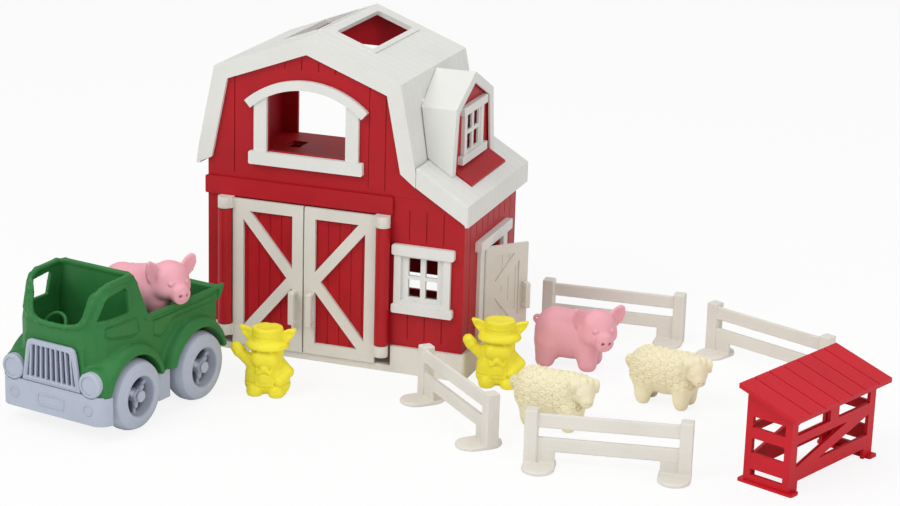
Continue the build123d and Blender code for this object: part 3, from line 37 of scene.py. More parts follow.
import bmesh
import bpy
import numpy as np
from bpy.props import FloatProperty, FloatVectorProperty, PointerProperty
from mathutils import Matrix, Vector

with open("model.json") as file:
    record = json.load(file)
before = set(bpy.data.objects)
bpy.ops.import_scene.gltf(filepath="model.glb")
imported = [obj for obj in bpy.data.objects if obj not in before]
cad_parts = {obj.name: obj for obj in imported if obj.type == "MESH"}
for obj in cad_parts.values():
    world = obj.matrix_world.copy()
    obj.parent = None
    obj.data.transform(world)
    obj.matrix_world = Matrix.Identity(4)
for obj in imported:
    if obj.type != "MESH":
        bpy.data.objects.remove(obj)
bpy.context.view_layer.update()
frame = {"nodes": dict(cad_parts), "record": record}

MM = 0.001
FAR = 1000.0
WHITE = (1, 1, 1, 1)
PLASTIC_SHEEN = 0.26
PLANK_PITCH = 0.0112
PLANK_SEAM = 0.0007

# Studio in metres: each lamp's name, place, width and power in watts, then where lamps and camera aim

LAMPS = (
    ("key_lamp", (-1.1, -1.9, 2.3), 1.8, 40),
    ("fill_lamp", (2.2, -1.4, 1.4), 1.8, 17),
    ("top_lamp", (0.2, 0.6, 2.6), 2.0, 16),
)
LAMP_AIM = (0.1, 0, 0.1)
FARM_MIDDLE = (0.0805, 0.0418, 0.0656)


# Sizes and colours that a user would change


def colour(name, description, default):
    """Colour setting with four channels."""
    return FloatVectorProperty(
        name=name, description=description, default=default, subtype="COLOR", size=4, min=0, max=1
    )


def length(name, description, default):
    """Length setting in millimetres, shown without a unit."""
    return FloatProperty(name=name, description=description, default=default, min=0)


def angle(name, description, degrees):
    """Angle setting given in degrees."""
    return FloatProperty(name=name, description=description, default=radians(degrees), subtype="ANGLE")


class BarnSettings(bpy.types.PropertyGroup):
    """Colours of the barn and its doors."""

    wall: colour("Wall", "Red of the barn's walls", (0.45, 0.009, 0.016, 1))
    trim: colour("Trim", "Off-white of the roof and the window frames", (0.785, 0.785, 0.755, 1))
    cream: colour("Doors", "Warm off-white of the doors, the base and the fences", (0.75, 0.72, 0.655, 1))
    shelter: colour("Shelter roof", "Bright red of the shelter", (0.60, 0.008, 0.020, 1))
    flecks: FloatProperty(
        name="Flecks", description="Strength of the mottling in the plastic", default=0.16, min=0, max=1
    )


class TruckSettings(bpy.types.PropertyGroup):
    """Colours and sizes of the pickup truck."""

    green: colour("Body", "Green of the cab and bed", (0.032, 0.195, 0.050, 1))
    grey: colour("Wheels", "Blue-grey of the wheels, grille and bumper", (0.46, 0.50, 0.60, 1))
    # Painted shade: a dark grey painted into the wheels' dishes and behind the grille's slots, where shade
    # falls
    painted_shade_tint: colour("Deep grey", "Darker grey inside the wheels and behind the grille", (0.085, 0.10, 0.16, 1))
    fender: length("Fender", "Radius of the fenders in millimetres", 38.0)
    well: length("Wheel well", "Radius of the wheel wells in millimetres", 30.0)
    step: length("Grid", "Grid step of the truck's surfaces in millimetres", 0.8)


class FigureSettings(bpy.types.PropertyGroup):
    """Colours and grid of the moulded figures."""

    pink: colour("Pig", "Pink of the pigs", (0.88, 0.42, 0.49, 1))
    fleece: colour("Sheep", "Cream of the sheep", (0.90, 0.83, 0.58, 1))
    yellow: colour("Farmer", "Yellow of the farmers", (0.93, 0.82, 0.045, 1))
    step: length("Grid", "Grid step of the figures' surfaces in millimetres", 0.6)
    curl: length("Curl", "Width of a curl of wool in millimetres", 6.2)


class StageSettings(bpy.types.PropertyGroup):
    """Floor, lights and camera."""

    floor: colour("Floor", "Colour of the floor", (0.93, 0.93, 0.92, 1))
    focal: FloatProperty(name="Lens", description="Camera lens in millimetres", default=94.86, min=10)
    azimuth: angle("Azimuth", "Camera azimuth", 18.8913)
    elevation: angle("Elevation", "Camera elevation", 17.0776)
    roll: angle("Roll", "Camera roll", 1.6962)
    distance: FloatProperty(name="Distance", description="Camera distance", default=1.9433, unit="LENGTH")
    floor_width: FloatProperty(
        name="Floor width", description="Width of the floor", default=14, unit="LENGTH"
    )


# Shader maths


class Signal:
    """A shader socket that can be added and multiplied like a number."""

    def __init__(self, graph, socket):
        self.graph = graph
        self.socket = socket

    def maths(self, operation, other):
        """Math node of this socket and another one or a number."""
        return self.graph.node("ShaderNodeMath", {"operation": operation}, {0: self, 1: other})

    def __add__(self, other):
        return self.maths("ADD", other)

    def __mul__(self, other):
        return self.maths("MULTIPLY", other)

    __radd__ = __add__
    __rmul__ = __mul__


class Graph:
    """A node tree whose nodes are all added by one method."""

    def __init__(self, tree):
        self.tree = tree

    def node(self, kind, settings=None, inputs=None, output=0):
        """Add a node: its settings first, then the values or links of its sockets."""
        made = self.tree.nodes.new(kind)
        for key, value in (settings or {}).items():
            if key == "stops":
                ramp = made.color_ramp
                while len(ramp.elements) < len(value):
                    ramp.elements.new(0.5)
                for element, (place, tint) in zip(ramp.elements, value):
                    element.position = place
                    element.color = tint
            else:
                setattr(made, key, value)
        for key, value in (inputs or {}).items():
            self.feed(made.inputs[key], value)
        return Signal(self, made.outputs[output])

    def feed(self, socket, value):
        """Link a signal to a socket, or set the socket's own value."""
        if isinstance(value, Signal):
            self.tree.links.new(value.socket, socket)
        else:
            socket.default_value = value


class Finish(Graph):
    """A material built from nodes around one principled shader."""

    def __init__(self, name, **constants):
        self.material = bpy.data.materials.new(name)
        self.material.use_nodes = True
        super().__init__(self.material.node_tree)
        self.tree.nodes.clear()
        self.shader = self.tree.nodes.new("ShaderNodeBsdfPrincipled")
        self.output = self.tree.nodes.new("ShaderNodeOutputMaterial")
        self.tree.links.new(self.shader.outputs[0], self.output.inputs["Surface"])
        for socket, value in constants.items():
            self.shader.inputs[socket.replace("_", " ")].default_value = value

    def place(self):
        """Object coordinates, which keep a pattern still on its piece."""
        return self.node("ShaderNodeTexCoord", output="Object")

    def noise(self, scale, detail=2.0, vector=None):
        """Cloudy noise of a given number of features to the metre."""
        inputs = {"Vector": vector or self.place(), "Scale": scale, "Detail": detail}
        return self.node("ShaderNodeTexNoise", {}, inputs, "Fac")

    def mix(self, amount, first, second):
        """Blend of two colours."""
        return self.node("ShaderNodeMix", {"data_type": "RGBA"}, {0: amount, 6: first, 7: second}, 2)

    def bump(self, height, strength, distance):
        """Bumps from a height signal."""
        inputs = {"Height": height, "Strength": strength, "Distance": distance}
        self.feed(self.shader.inputs["Normal"], self.node("ShaderNodeBump", {}, inputs))

    def colour(self, tone):
        """Give the surface its colour."""
        self.feed(self.shader.inputs["Base Color"], tone)

    def mottle(self, tint, roughness, flecks, cloud_scale=28):
        """Tone that runs from dark to light over six parts of clouds and four of flecks, and cloudy gloss.

        Returns the tone, the flecks and the place that they are drawn over.
        """
        place = self.place()
        clouds = self.noise(cloud_scale, 3, place)
        specks = self.noise(900, 2, place)
        stops = ((0.30, shade(tint, 1 - flecks)), (0.52, tuple(tint)), (0.74, shade(tint, 1 + flecks * 0.6)))
        tone = self.node("ShaderNodeValToRGB", {"stops": stops}, {"Fac": clouds * 0.6 + specks * 0.4})
        self.feed(self.shader.inputs["Roughness"], clouds * 0.16 + (roughness - 0.08))
        return tone, specks, place


def shade(tint, factor):
    """A colour made lighter or darker by a factor."""
    return (*(min(1.0, channel * factor) for channel in tint[:3]), 1.0)


def moulded_plastic(name, tint, roughness, flecks, grain=0.25):
    """Mottled plastic whose pebbled skin is half the flecks and half a coarser noise."""
    finish = Finish(name, Specular_IOR_Level=PLASTIC_SHEEN)
    tone, specks, place = finish.mottle(tint, roughness, flecks)
    finish.colour(tone)
    finish.bump(specks * 0.5 + finish.noise(340, 2, place) * 0.5, grain, 0.0002)
    return finish.material


def planked_plastic(name, tint, roughness, flecks, pitch, seam):
    """Mottled plastic with fine seams across the barn's depth.

    The distance to the nearest seam folds back and forth over half a pitch, and a seam is dark and sunk.
    """
    finish = Finish(name, Specular_IOR_Level=PLASTIC_SHEEN)
    tone, specks, place = finish.mottle(tint, roughness, flecks)
    depth = finish.node("ShaderNodeSeparateXYZ", {}, {0: place}, 1)
    edge = finish.node("ShaderNodeMath", {"operation": "PINGPONG"}, {0: depth + 10 * pitch, 1: pitch / 2})
    limits = {"Value": edge, "From Min": seam * 0.4, "From Max": seam}
    ridge = finish.node("ShaderNodeMapRange", {}, limits)
    finish.colour(finish.mix(ridge, shade(tint, 0.93), tone))
    finish.bump(ridge * 0.6 + specks * 0.1, 0.25, 0.0004)
    return finish.material


def shade_painted_by(name, tint, painted_shade_tint, attribute, roughness, flecks, grain=0.2):
    """Mottled plastic with painted shade, darker by an attribute from 0 outside a hollow to 1 at its bottom.
    """
    finish = Finish(name, Specular_IOR_Level=PLASTIC_SHEEN)
    tone, specks, _ = finish.mottle(tint, roughness, flecks, 30)
    depth = finish.node("ShaderNodeAttribute", {"attribute_name": attribute}, {}, "Fac")
    # Painted shade: the colour turns to the dark tint where the attribute marks a hollow
    finish.colour(finish.mix(depth, tone, tuple(painted_shade_tint)))
    finish.bump(specks, grain, 0.0002)
    return finish.material


# Surfaces


def smooth_min(first, second, blend):
    """The smaller of two distances, with the crease between them rounded over a blend width."""
    share = np.clip(0.5 + 0.5 * (second - first) / blend, 0, 1)
    return second + (first - second) * share - blend * share * (1 - share)


def smooth_max(first, second, blend):
    """The larger of two distances, with the edge between them rounded over a blend width."""
    return -smooth_min(-first, -second, blend)


def ball(at, centre, radius):
    """Distance to a ball: the distance to its centre less its radius."""
    return np.sqrt((at[0] - centre[0]) ** 2 + (at[1] - centre[1]) ** 2 + (at[2] - centre[2]) ** 2) - radius


def egg(at, centre, radii):
    """Near distance to an egg: the ball's distance in a space squeezed by the three radii."""
    squeezed = sum(((a - c) / r) ** 2 for a, c, r in zip(at, centre, radii))
    return (np.sqrt(squeezed) - 1) * min(radii)


def limb(at, start, end, start_radius, end_radius):
    """Distance to a tapered limb: that to its middle line less a radius that runs from end to end."""
    start, reach = np.array(start, float), np.array(end, float) - np.array(start, float)
    along = sum((a - s) * r for a, s, r in zip(at, start, reach)) / (reach @ reach)
    along = np.clip(along, 0, 1)
    gap = np.sqrt(sum((a - s - along * r) ** 2 for a, s, r in zip(at, start, reach)))
    return gap - (start_radius + (end_radius - start_radius) * along)


def block(at, centre, half, edge):
    """Distance to a block with rounded edges: how far a point lies past its half sizes, less the radius."""
    over = [np.abs(a - c) - h + edge for a, c, h in zip(at, centre, half)]
    outside = np.sqrt(sum(np.maximum(o, 0) ** 2 for o in over))
    inside = np.minimum(np.maximum(np.maximum(over[0], over[1]), over[2]), 0)
    return outside + inside - edge


def ring(at, centre, radius, thickness):
    """Distance to a ring in the XZ plane: the distance to its circle less its thickness."""
    flat = np.sqrt((at[0] - centre[0]) ** 2 + (at[2] - centre[2]) ** 2) - radius
    return np.sqrt(flat ** 2 + (at[1] - centre[1]) ** 2) - thickness


def mirrored(half, axis=0):
    """Closed outline from one half: its points, then the same in reverse with one coordinate flipped."""
    flip = [(-u, v) if axis == 0 else (u, -v) for u, v in reversed(half)]
    return half + [point for point in flip if point not in half]


def outline(u, v, points):
    """Signed distance to a closed outline.

    It is the least distance to the outline's sides, negative where a ray crosses them an odd number of times.
    """
    u, v = np.broadcast_arrays(u, v)
    least = np.full(u.shape, FAR, np.float32)
    odd = np.zeros(u.shape, bool)
    for (au, av), (bu, bv) in zip(points, points[1:] + points[:1]):
        ru, rv = bu - au, bv - av
        along = np.clip(((u - au) * ru + (v - av) * rv) / (ru * ru + rv * rv), 0, 1)
        least = np.minimum(least, np.hypot(u - au - along * ru, v - av - along * rv))
        if av != bv:
            crossed = (v > min(av, bv)) & (v <= max(av, bv)) & (u < au + (v - av) * ru / rv)
            odd ^= crossed
    return np.where(odd, -least, least)


def turned(at, centre, yaw, pitch=0.0, tilt=0.0):
    """Coordinates in a frame set at a centre and turned by yaw about Z, pitch about Y and tilt about X."""
    turn = Matrix.Rotation(yaw, 3, "Z") @ Matrix.Rotation(pitch, 3, "Y") @ Matrix.Rotation(tilt, 3, "X")
    offset = [a - c for a, c in zip(at, centre)]
    return [sum(o * turn[row][column] for row, o in enumerate(offset)) for column in range(3)]


class Clay:
    """A grid of signed distances in millimetres, to which forms are added and from which they are carved."""

    def __init__(self, low, high, step):
        self.low = np.array(low, np.float32)
        self.step = step
        lines = [np.arange(a, b + step, step, dtype=np.float32) for a, b in zip(low, high)]
        self.at = np.meshgrid(*lines, indexing="ij", sparse=True)
        self.field = np.full([line.size for line in lines], FAR, np.float32)

    def fill(self, distance):
        """Start from a form."""
        self.field = distance.astype(np.float32)

    def add(self, distance, blend=1.0):
        """Melt a form into the clay."""
        self.field = smooth_min(self.field, distance, blend).astype(np.float32)

    def carve(self, distance, blend=1.0):
        """Cut a form out of the clay."""
        self.field = smooth_max(self.field, -distance, blend).astype(np.float32)

    def level(self, height=0.0, blend=0.8):
        """Cut away what lies below a height."""
        self.carve(self.at[2] - height, blend)

    def skin(self):
        """Closed surface where the distances cross zero.

        Each cell that the surface passes through gets one point, at the mean of the crossings on its edges.
        Each grid edge that the surface crosses gets one face, through the points of the four cells round it.
        """
        field = np.pad(self.field, 1, constant_values=FAR)
        inside = field < 0
        wide, painted_shade_tint, high = (count - 1 for count in field.shape)
        held = sum(
            inside[i:wide + i, j:painted_shade_tint + j, k:high + k].astype(np.int8)
            for i in (0, 1)
            for j in (0, 1)
            for k in (0, 1)
        )
        cells = np.argwhere((held > 0) & (held < 8))
        number = np.full(held.shape, -1, np.int64)
        number[tuple(cells.T)] = np.arange(len(cells))
        total = np.zeros((len(cells), 3))
        count = np.zeros((len(cells), 1))
        unit = np.eye(3, dtype=int)
        quads = []
        for axis in range(3):
            across, up = unit[(axis + 1) % 3], unit[(axis + 2) % 3]
            for shift in (0 * up, across, up, across + up):
                start = cells + shift
                near, far = field[tuple(start.T)], field[tuple((start + unit[axis]).T)]
                crossed = ((near < 0) != (far < 0))[:, None]
                share = np.where(crossed[:, 0], near / np.where(near == far, 1, near - far), 0)[:, None]
                total += crossed * (shift + share * unit[axis])
                count += crossed
            edge = np.argwhere(np.diff(inside.astype(np.int8), axis=axis) != 0)
            around = [number[tuple((edge - shift).T)] for shift in (0 * up, across, across + up, up)]
            quad = np.stack(around, 1)
            away = ~inside[tuple(edge.T)]
            quad[away] = quad[away][:, ::-1]
            quads.append(quad)
        points = (cells + total / count - 1) * self.step + self.low
        return points, np.concatenate(quads)


def make_piece(name, points, faces, material, attribute=None):
    """Mesh object from points in metres and faces, smooth shaded."""
    mesh = bpy.data.meshes.new(name)
    mesh.from_pydata(points, [], faces.tolist() if hasattr(faces, "tolist") else faces)
    mesh.shade_smooth()
    mesh.materials.append(material)
    if attribute is not None:
        layer = mesh.attributes.new(attribute[0], "FLOAT", "POINT")
        layer.data.foreach_set("value", np.asarray(attribute[1], np.float32))
    piece = bpy.data.objects.new(name, mesh)
    bpy.context.scene.collection.objects.link(piece)
    return piece


def settle(points, place, lift=0.0, size=1.0):
    """Points in millimetres brought to size, turned about Z and moved to their place, as metres."""
    x, y, turn = place
    turn = radians(turn)
    across, along, up = (points * size).T
    spun = (across * cos(turn) - along * sin(turn) + x, across * sin(turn) + along * cos(turn) + y, up + lift)
    return np.stack(spun, 1) * MM


def dress(material, *nodes):
    """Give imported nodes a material."""
    for node in nodes:
        shown = frame["nodes"][node]
        for slot in shown.material_slots:
            slot.material = material


def soften(material, slot, width, *nodes):
    """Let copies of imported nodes, with sharp edges rounded by up to a width in mm, stand for them."""
    for node in nodes:
        form = bmesh.new()
        form.from_mesh(frame["nodes"][node].data)
        bmesh.ops.remove_doubles(form, verts=form.verts, dist=0.01 * MM)
        mesh = bpy.data.meshes.new(node + "_moulding")
        form.to_mesh(mesh)
        form.free()
        mesh.materials.clear()
        mesh.materials.append(material)
        piece = bpy.data.objects.new(node + "_moulding", mesh)
        bpy.context.scene.collection.objects.link(piece)
        rounding = piece.modifiers.new("rounded edges", "BEVEL")
        rounding.width = width * MM
        rounding.segments = 2
        rounding.limit_method = "ANGLE"
        rounding.angle_limit = radians(32)
        rounding.use_clamp_overlap = True
        rounding.harden_normals = True
        stand_in(piece, node)


# Places of the loose pieces in the farm's frame, and of BED_PIG in the truck's: millimetres and degrees

TRUCK_PLACE = (-82.0, -181.0, -101.8)
FARMER_PLACES = {"farmer_left": (4.6, -156.3, 10.0), "farmer_right": (160.5, -68.0, 12.0)}
SHEEP_PLACES = {"sheep_front": (226.7, -133.5, -4.0), "sheep_back": (293.2, -54.7, -8.0)}
PEN_PIG_PLACE = (200.5, 0.0, 2.0)
BED_PIG = (18.0, 7.5, 125.0)
FENCE_PLACES = {
    "fence_left": (118.4, -117.0, -45.0),
    "fence_front": (232.5, -213.0, 10.1),
    "fence_back": (155.1, 80.7, 3.3),
    "fence_right": (296.5, 77.0, -24.5),
}

# Grid steps of the fences, the grille and bumper, and the wheels in millimetres

FENCE_GRID = 0.7
TRIM_GRID = 0.4
WHEEL_GRID = 0.5

# Sizes of the fences in millimetres, and of the figures against their drawing size

FENCE_LONG = 109.7
FENCE_HIGH = 42.0
FENCE_POST = 9.4
FENCE_DEPTH = 10.0
RAIL_HEIGHTS = (34.4, 16.6)
RAIL_SET_BACK = -1.6
PIG_SIZE = 1.05
SHEEP_SIZE = 0.92
FARMER_SIZE = 0.88

# Outlines of the figures in millimetres at their drawing size

PIG_EAR = [
    (8.4, 9.6), (12.6, 14.2), (17.4, 17.0), (20.4, 15.8), (21.4, 10), (19.6, 3.4), (15.4, -1.4), (10, -2),
]
FARMER_EAR = [(9.5, 47), (17.6, 47.4), (22.6, 53.2), (25.4, 59.2), (24.0, 60.6), (17.6, 59.4), (9.5, 55.4)]
HAT_BRIM = [(0, 46.6), (11, 46.2), (18.0, 43.0), (19.0, 44.4), (18.0, 46.6), (12.8, 49.8), (0, 51)]
HAT_CROWN = [(0, 47), (12.4, 47), (13.4, 58.6), (12.8, 60.4), (10.6, 60.8), (0, 59.2)]

# Sizes of the truck in millimetres: x forward from the rear axle, y to its left and z up from the floor

REAR_AXLE = 0.0
FRONT_AXLE = 76.0
TYRE_RADIUS = 27.0
AXLE_RADIUS = 2.5
WHEEL_MIDDLE = 42.4
BED_FLOOR = 58.8
NOSE = 111.0
BUMPER = 115.0
COWL = 79.0
LAMP_SIDE = 35.6
LAMP_HEIGHT = 43.0
SLOT_PITCH = 4.7

# Outlines of the truck: x and z in side views, y and z in end views, x and y in plans

SIDE_PROFILE = [
    (-31.4, 30), (-33.2, 79.6), (55.0, 79.4), (60.6, 109.6), (61.8, 112.4), (64.6, 113.4), (90.0, 112.0),
    (96.6, 110.2), (100.8, 106.8), (103.8, 101.4), (106.2, 94.6), (112.0, 84), (113.0, 74), (111.2, 66),
    (111.0, 30),
]
END_PROFILE = mirrored([(-41, 0), (-41, 80), (-35.8, 107), (-33.6, 111.6), (-29.6, 114)])
PLAN = mirrored(
    [(-33.6, 41), (91, 41), (99, 38.6), (105.4, 33.4), (109.6, 26), (112.2, 13), (112.8, 0)], axis=1
)
CAB_SIDE = [(60.6, 42.6), (60.6, 70), (65.0, 130), (120, 130), (120, 42.6)]
CAB_END = mirrored([(-38, 30), (-38, 80), (-31.4, 114), (-28.8, 132)])
CAB_PLAN = mirrored(
    [(50, 38), (90, 38), (97, 35.6), (102.8, 30.8), (106.6, 24), (108.8, 12), (109.4, 0)], axis=1
)
WINDSCREEN = mirrored([(-11, 81.6), (-20.6, 85.0), (-23.0, 90.0), (-25.2, 104), (-28.6, 114), (-28.6, 132)])
SIDE_WINDOW = [(73.0, 87.5), (71.8, 103.4), (74.2, 105.6), (92.6, 103.4), (96.2, 100.4), (102.6, 87.5)]
DOOR_PANEL = [
    (63.0, 71), (64.5, 81.0), (66.0, 82.4), (96, 82.4), (98.0, 81.0), (98.8, 76), (96, 74), (74, 69.4),
    (65, 69.4),
]
BED_PANEL = [(-27, 70), (-28, 75), (46, 74.4), (46, 63), (38, 60), (30, 63), (22, 70)]
GRILLE_FACE = mirrored([(-26.6, 35.6), (-22.4, 62.8), (-21.2, 66.0), (-18.6, 67.4)])
GRILLE_WINDOW = mirrored([(-22.6, 39.2), (-19.2, 60.4), (-18.2, 62.6), (-16.0, 63.8)])

# Outlines of a wheel: distance to the axle line, then depth along it

TYRE = [(-5, -10), (-5, 10), (19, 10), (24.5, 7.5), (27.2, 2), (27.2, -3), (24.5, -8), (19, -10)]
OUTER_DISH = [(-5, -4.6), (12.6, -4.6), (14.2, 4), (15.6, 13), (-5, 13)]
INNER_DISH = [(-5, -6.4), (12, -6.4), (16, -13), (-5, -13)]
HUB = [(-5, -9), (-5, 8.0), (4.3, 8.0), (5.0, 7), (5.0, -9)]

# Rims of the truck's left side: each point gives its place and the radius of the rim that ends there

RIMS = (
    ((-32.4, 40.2, 79.4, 1.9), (54, 40.2, 79.2, 1.9)),
    ((54.4, 40, 79.2, 2.1), (60.8, 34.4, 105.6, 2.1), (61.8, 32.4, 109.6, 2.1), (62.2, 28.6, 111.8, 2.0)),
    (
        (62.2, 31.0, 110.8, 2.0), (67, 33.0, 111.8, 2.0), (89, 33.0, 110.6, 2.2), (95.4, 32.0, 108.4, 2.2),
        (99.4, 30.6, 104.6, 2.2), (102.0, 29.4, 99.6, 2.2), (104.2, 28.0, 93.0, 2.2),
        (107.4, 26.2, 86.4, 2.3), (109.8, 21.4, 83.2, 2.1), (111.6, 12, 81.8, 1.8), (112.0, 0, 81.4, 1.8),
    ),
    ((-32.2, 40.4, 72, 1.8), (-34.2, 42.6, 81.4, 1.8)),
)


def truck_point(x, y):
    """Place of a point of the truck in the farm's frame."""
    turn = radians(TRUCK_PLACE[2])
    return TRUCK_PLACE[0] + x * cos(turn) - y * sin(turn), TRUCK_PLACE[1] + x * sin(turn) + y * cos(turn)


def body_of(node):
    """Name of the body that holds a node."""
    bodies = frame["record"]["behaviour"]["bodies"]
    return next(body for body, nodes in bodies.items() if node in nodes)


def stand_in(piece, node):
    """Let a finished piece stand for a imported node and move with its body."""
    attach(piece, body_of(node))
    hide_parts(node)


def mould_copies(clay, places, size, plastic, suffix="_figure"):
    """Mould the clay once at each place, to stand for the node that the place is listed under."""
    points, faces = clay.skin()
    for name, place in places.items():
        piece = make_piece(name + suffix, settle(points, place, size=size), faces, plastic)
        stand_in(piece, name)


def fence_clay(step):
    """Fence panel of blocks: two hollow-backed posts on drawn-out discs, two rails set back, and two webs."""
    clay = Clay((-9, -27, -1.4), (119, 13, 44), step)
    at = clay.at
    x, y, z = at
    half = (FENCE_POST / 2, FENCE_DEPTH / 2, FENCE_HIGH / 2)
    for post, inward in ((0, 1), (FENCE_LONG, -1)):
        clay.add(block(at, (post, 0, half[2]), half, 0.7), 0.2)
        clay.carve(block(at, (post, 4.4, 21.2), (2.3, 3.4, 18.4), 0.4), 0.4)
        reach = np.hypot(x - post - inward * 6.8, np.maximum(np.abs(y + 5.6) - 6.0, 0)) - 11.8
        clay.add(smooth_max(reach, np.abs(z - 1.5) - 1.5, 1.2), 0.2)
        clay.add(block(at, (post + inward * 9.0, RAIL_SET_BACK, 7.0), (8.6, 1.3, 6.4), 0.4), 0.2)
    middle, reach = FENCE_LONG / 2, FENCE_LONG / 2 - 3
    for height in RAIL_HEIGHTS:
        clay.add(block(at, (middle, RAIL_SET_BACK, height), (reach, 1.5, 5.2), 0.5), 0.2)
        clay.add(block(at, (middle, 0.4, height - 4.4), (reach, 3.4, 0.9), 0.3), 0.3)
    return clay


def pig_clay(step):
    """Pig: limbs and eggs melted together, and ears that are outlines within a bowed thickness."""
    clay = Clay((-36, -34, -2), (46, 26, 58), step)
    at = clay.at
    clay.add(limb(at, (-11.4, 0, 26.4), (6, 0, 26.6), 16.6, 17.0), 1)
    clay.add(egg(at, (-15.4, 0, 24.4), (14.4, 16.0, 19.4)), 4)
    clay.add(egg(at, (-1, 0, 23), (22, 15.6, 17.6)), 4)
    for side in (-1, 1):
        clay.add(limb(at, (-18.0, side * 7.4, 18), (-19.4, side * 8.6, 5.4), 10.4, 7.4), 3)
        clay.add(limb(at, (11.4, side * 7.4, 18), (13.6, side * 8.6, 5.4), 9.4, 7.2), 3)
    head = turned(at, (20, -7, 34.4), radians(-54), radians(8))
    clay.add(egg(head, (-1, 0, 0), (13.6, 14.2, 13.4)), 4)
    clay.add(limb(head, (4, 0, -3.5), (12.6, 0, -5.2), 9.8, 7.0), 4)
    clay.add(smooth_max(limb(head, (8, 0, -5), (16, 0, -5.6), 6.6, 6.9), head[0] - 17.4, 1.4), 1.4)
    for side in (-1, 1):
        clay.add(egg(head, (3, side * 9.0, -5), (6.4, 4.8, 5.4)), 4)
        leaf = outline(head[1] * side, head[2], PIG_EAR)
        bow = 0.035 * (head[1] * side - 14.5) ** 2
        clay.add(smooth_max(leaf, np.abs(head[0] + 1.6 - bow) - 1.5, 1.8), 1.6)
        clay.carve(egg(head, (2.2, side * 16.2, 7.4), (2.8, 3.6, 6.4)), 1.2)
        clay.add(ball(head, (11.0, side * 6.6, 2.0), 1.7), 0.6)
        lid = turned(head, (11.2, side * 6.6, 2.0), radians(90) + side * 0.5)
        clay.carve(ring(lid, (0, 0, 0), 2.5, 0.4), 0.4)
        clay.carve(limb(head, (15.4, side * 2.6, -5.0), (20, side * 2.6, -5.0), 1.1, 1.2), 0.6)
    clay.carve(limb(head, (13.8, -4.6, -11.6), (13.8, 4.6, -11.6), 0.6, 0.6), 0.7)
    tail = turned(at, (-28.8, 0, 33.4), radians(14), 0, radians(-10))
    clay.add(ring(tail, (0, 0, 0), 2.3, 1.25), 1)
    clay.add(limb(at, (-25, 0, 31), (-28.6, 0.6, 31.0), 1.7, 1.3), 2)
    for side in (-1, 1):
        for x in (-20.0, 14.2):
            clay.carve(limb(at, (x + 5.6, side * 9 - 0.4, -1), (x + 6.6, side * 9 - 0.4, 3.0), 0.5, 0.4), 0.6)
    clay.level()
    return clay


def sheep_clay(step, curl):
    """Sheep: limbs and eggs melted together, the body raised in rows of curls.

    A curl falls with the square of the distance to its middle, and the cosine of that distance and of the
    angle round the middle winds a spiral on it. Every second row is shifted by half a curl.
    """
    clay = Clay((-42, -24, -2), (44, 24, 54), step)
    at = clay.at
    clay.add(limb(at, (-17, 0, 29.4), (9, 0, 30.4), 16.2, 15.6), 1)
    clay.add(egg(at, (-20, 0, 27), (14, 15.4, 18)), 5)
    clay.add(egg(at, (-3, 0, 25), (24, 15, 17)), 4)
    clay.add(limb(at, (-29, 0, 30), (-36, 0, 32), 5.4, 3.8), 4)
    for side in (-1, 1):
        for x in (-20, 14):
            clay.add(limb(at, (x, side * 7.0, 18), (x, side * 8.4, 8.5), 9.6, 7.4), 4)
    clay.add(egg(at, (20, -3, 38), (11, 11, 9)), 5)
    around = np.arctan2(at[1], at[2] - 27.0) * 16.0
    row = np.round(at[0] / curl)
    u = at[0] - row * curl
    v = around + (row % 2) * curl * 0.5
    v = v - np.round(v / curl) * curl
    reach = np.hypot(u, v)
    spiral = np.cos(reach * 2.9 + np.arctan2(v, u) + row * 1.7)
    knob = np.clip(1 - (reach / (curl * 0.66)) ** 2, 0, 1)
    high = np.clip((at[2] - 14) / 8, 0, 1)
    clay.field = clay.field - (1.5 * knob + 0.5 * spiral * (knob > 0.05)) * high + 0.4
    head = turned(at, (25, -6, 35.4), radians(-50), radians(26))
    clay.add(egg(head, (-1, 0, 0), (11.5, 9.8, 9.8)), 1.2)
    clay.add(limb(head, (4, 0, -0.6), (10.4, 0, -1.4), 7.4, 5.4), 3)
    for tuft in (-5.0, 0.0, 5.0):
        clay.add(egg(head, (-2.6, tuft, 8.6 - abs(tuft) * 0.2), (5.0, 3.4, 3.0)), 0.8)
    for side in (-1, 1):
        clay.add(limb(head, (-3, side * 7, 1), (-3, side * 12.6, -3.4), 3.4, 2.4), 1.4)
        horn = turned(head, (-1.4, side * 8.6, 4.4), 0, 0, radians(-12) * side)
        clay.add(egg(horn, (0, 0, 0), (5.0, 3.2, 5.0)), 0.8)
        clay.add(ring(horn, (0, side * 1.6, 0), 3.9, 1.5), 0.6)
        clay.add(ball(head, (7.6, side * 5.6, 3.2), 1.3), 0.4)
        clay.carve(limb(head, (14.4, side * 1.8, 0), (17, side * 1.8, 0), 0.7, 0.7), 0.4)
    clay.carve(limb(head, (14.2, -2.6, -4.2), (14.2, 2.6, -4.2), 0.5, 0.5), 0.4)
    for side in (-1, 1):
        for x in (-20, 14):
            clay.add(limb(at, (x, side * 8.6, 9), (x + 0.5, side * 8.6, 4.8), 6.4, 6.0), 1.2)
    clay.level()
    return clay


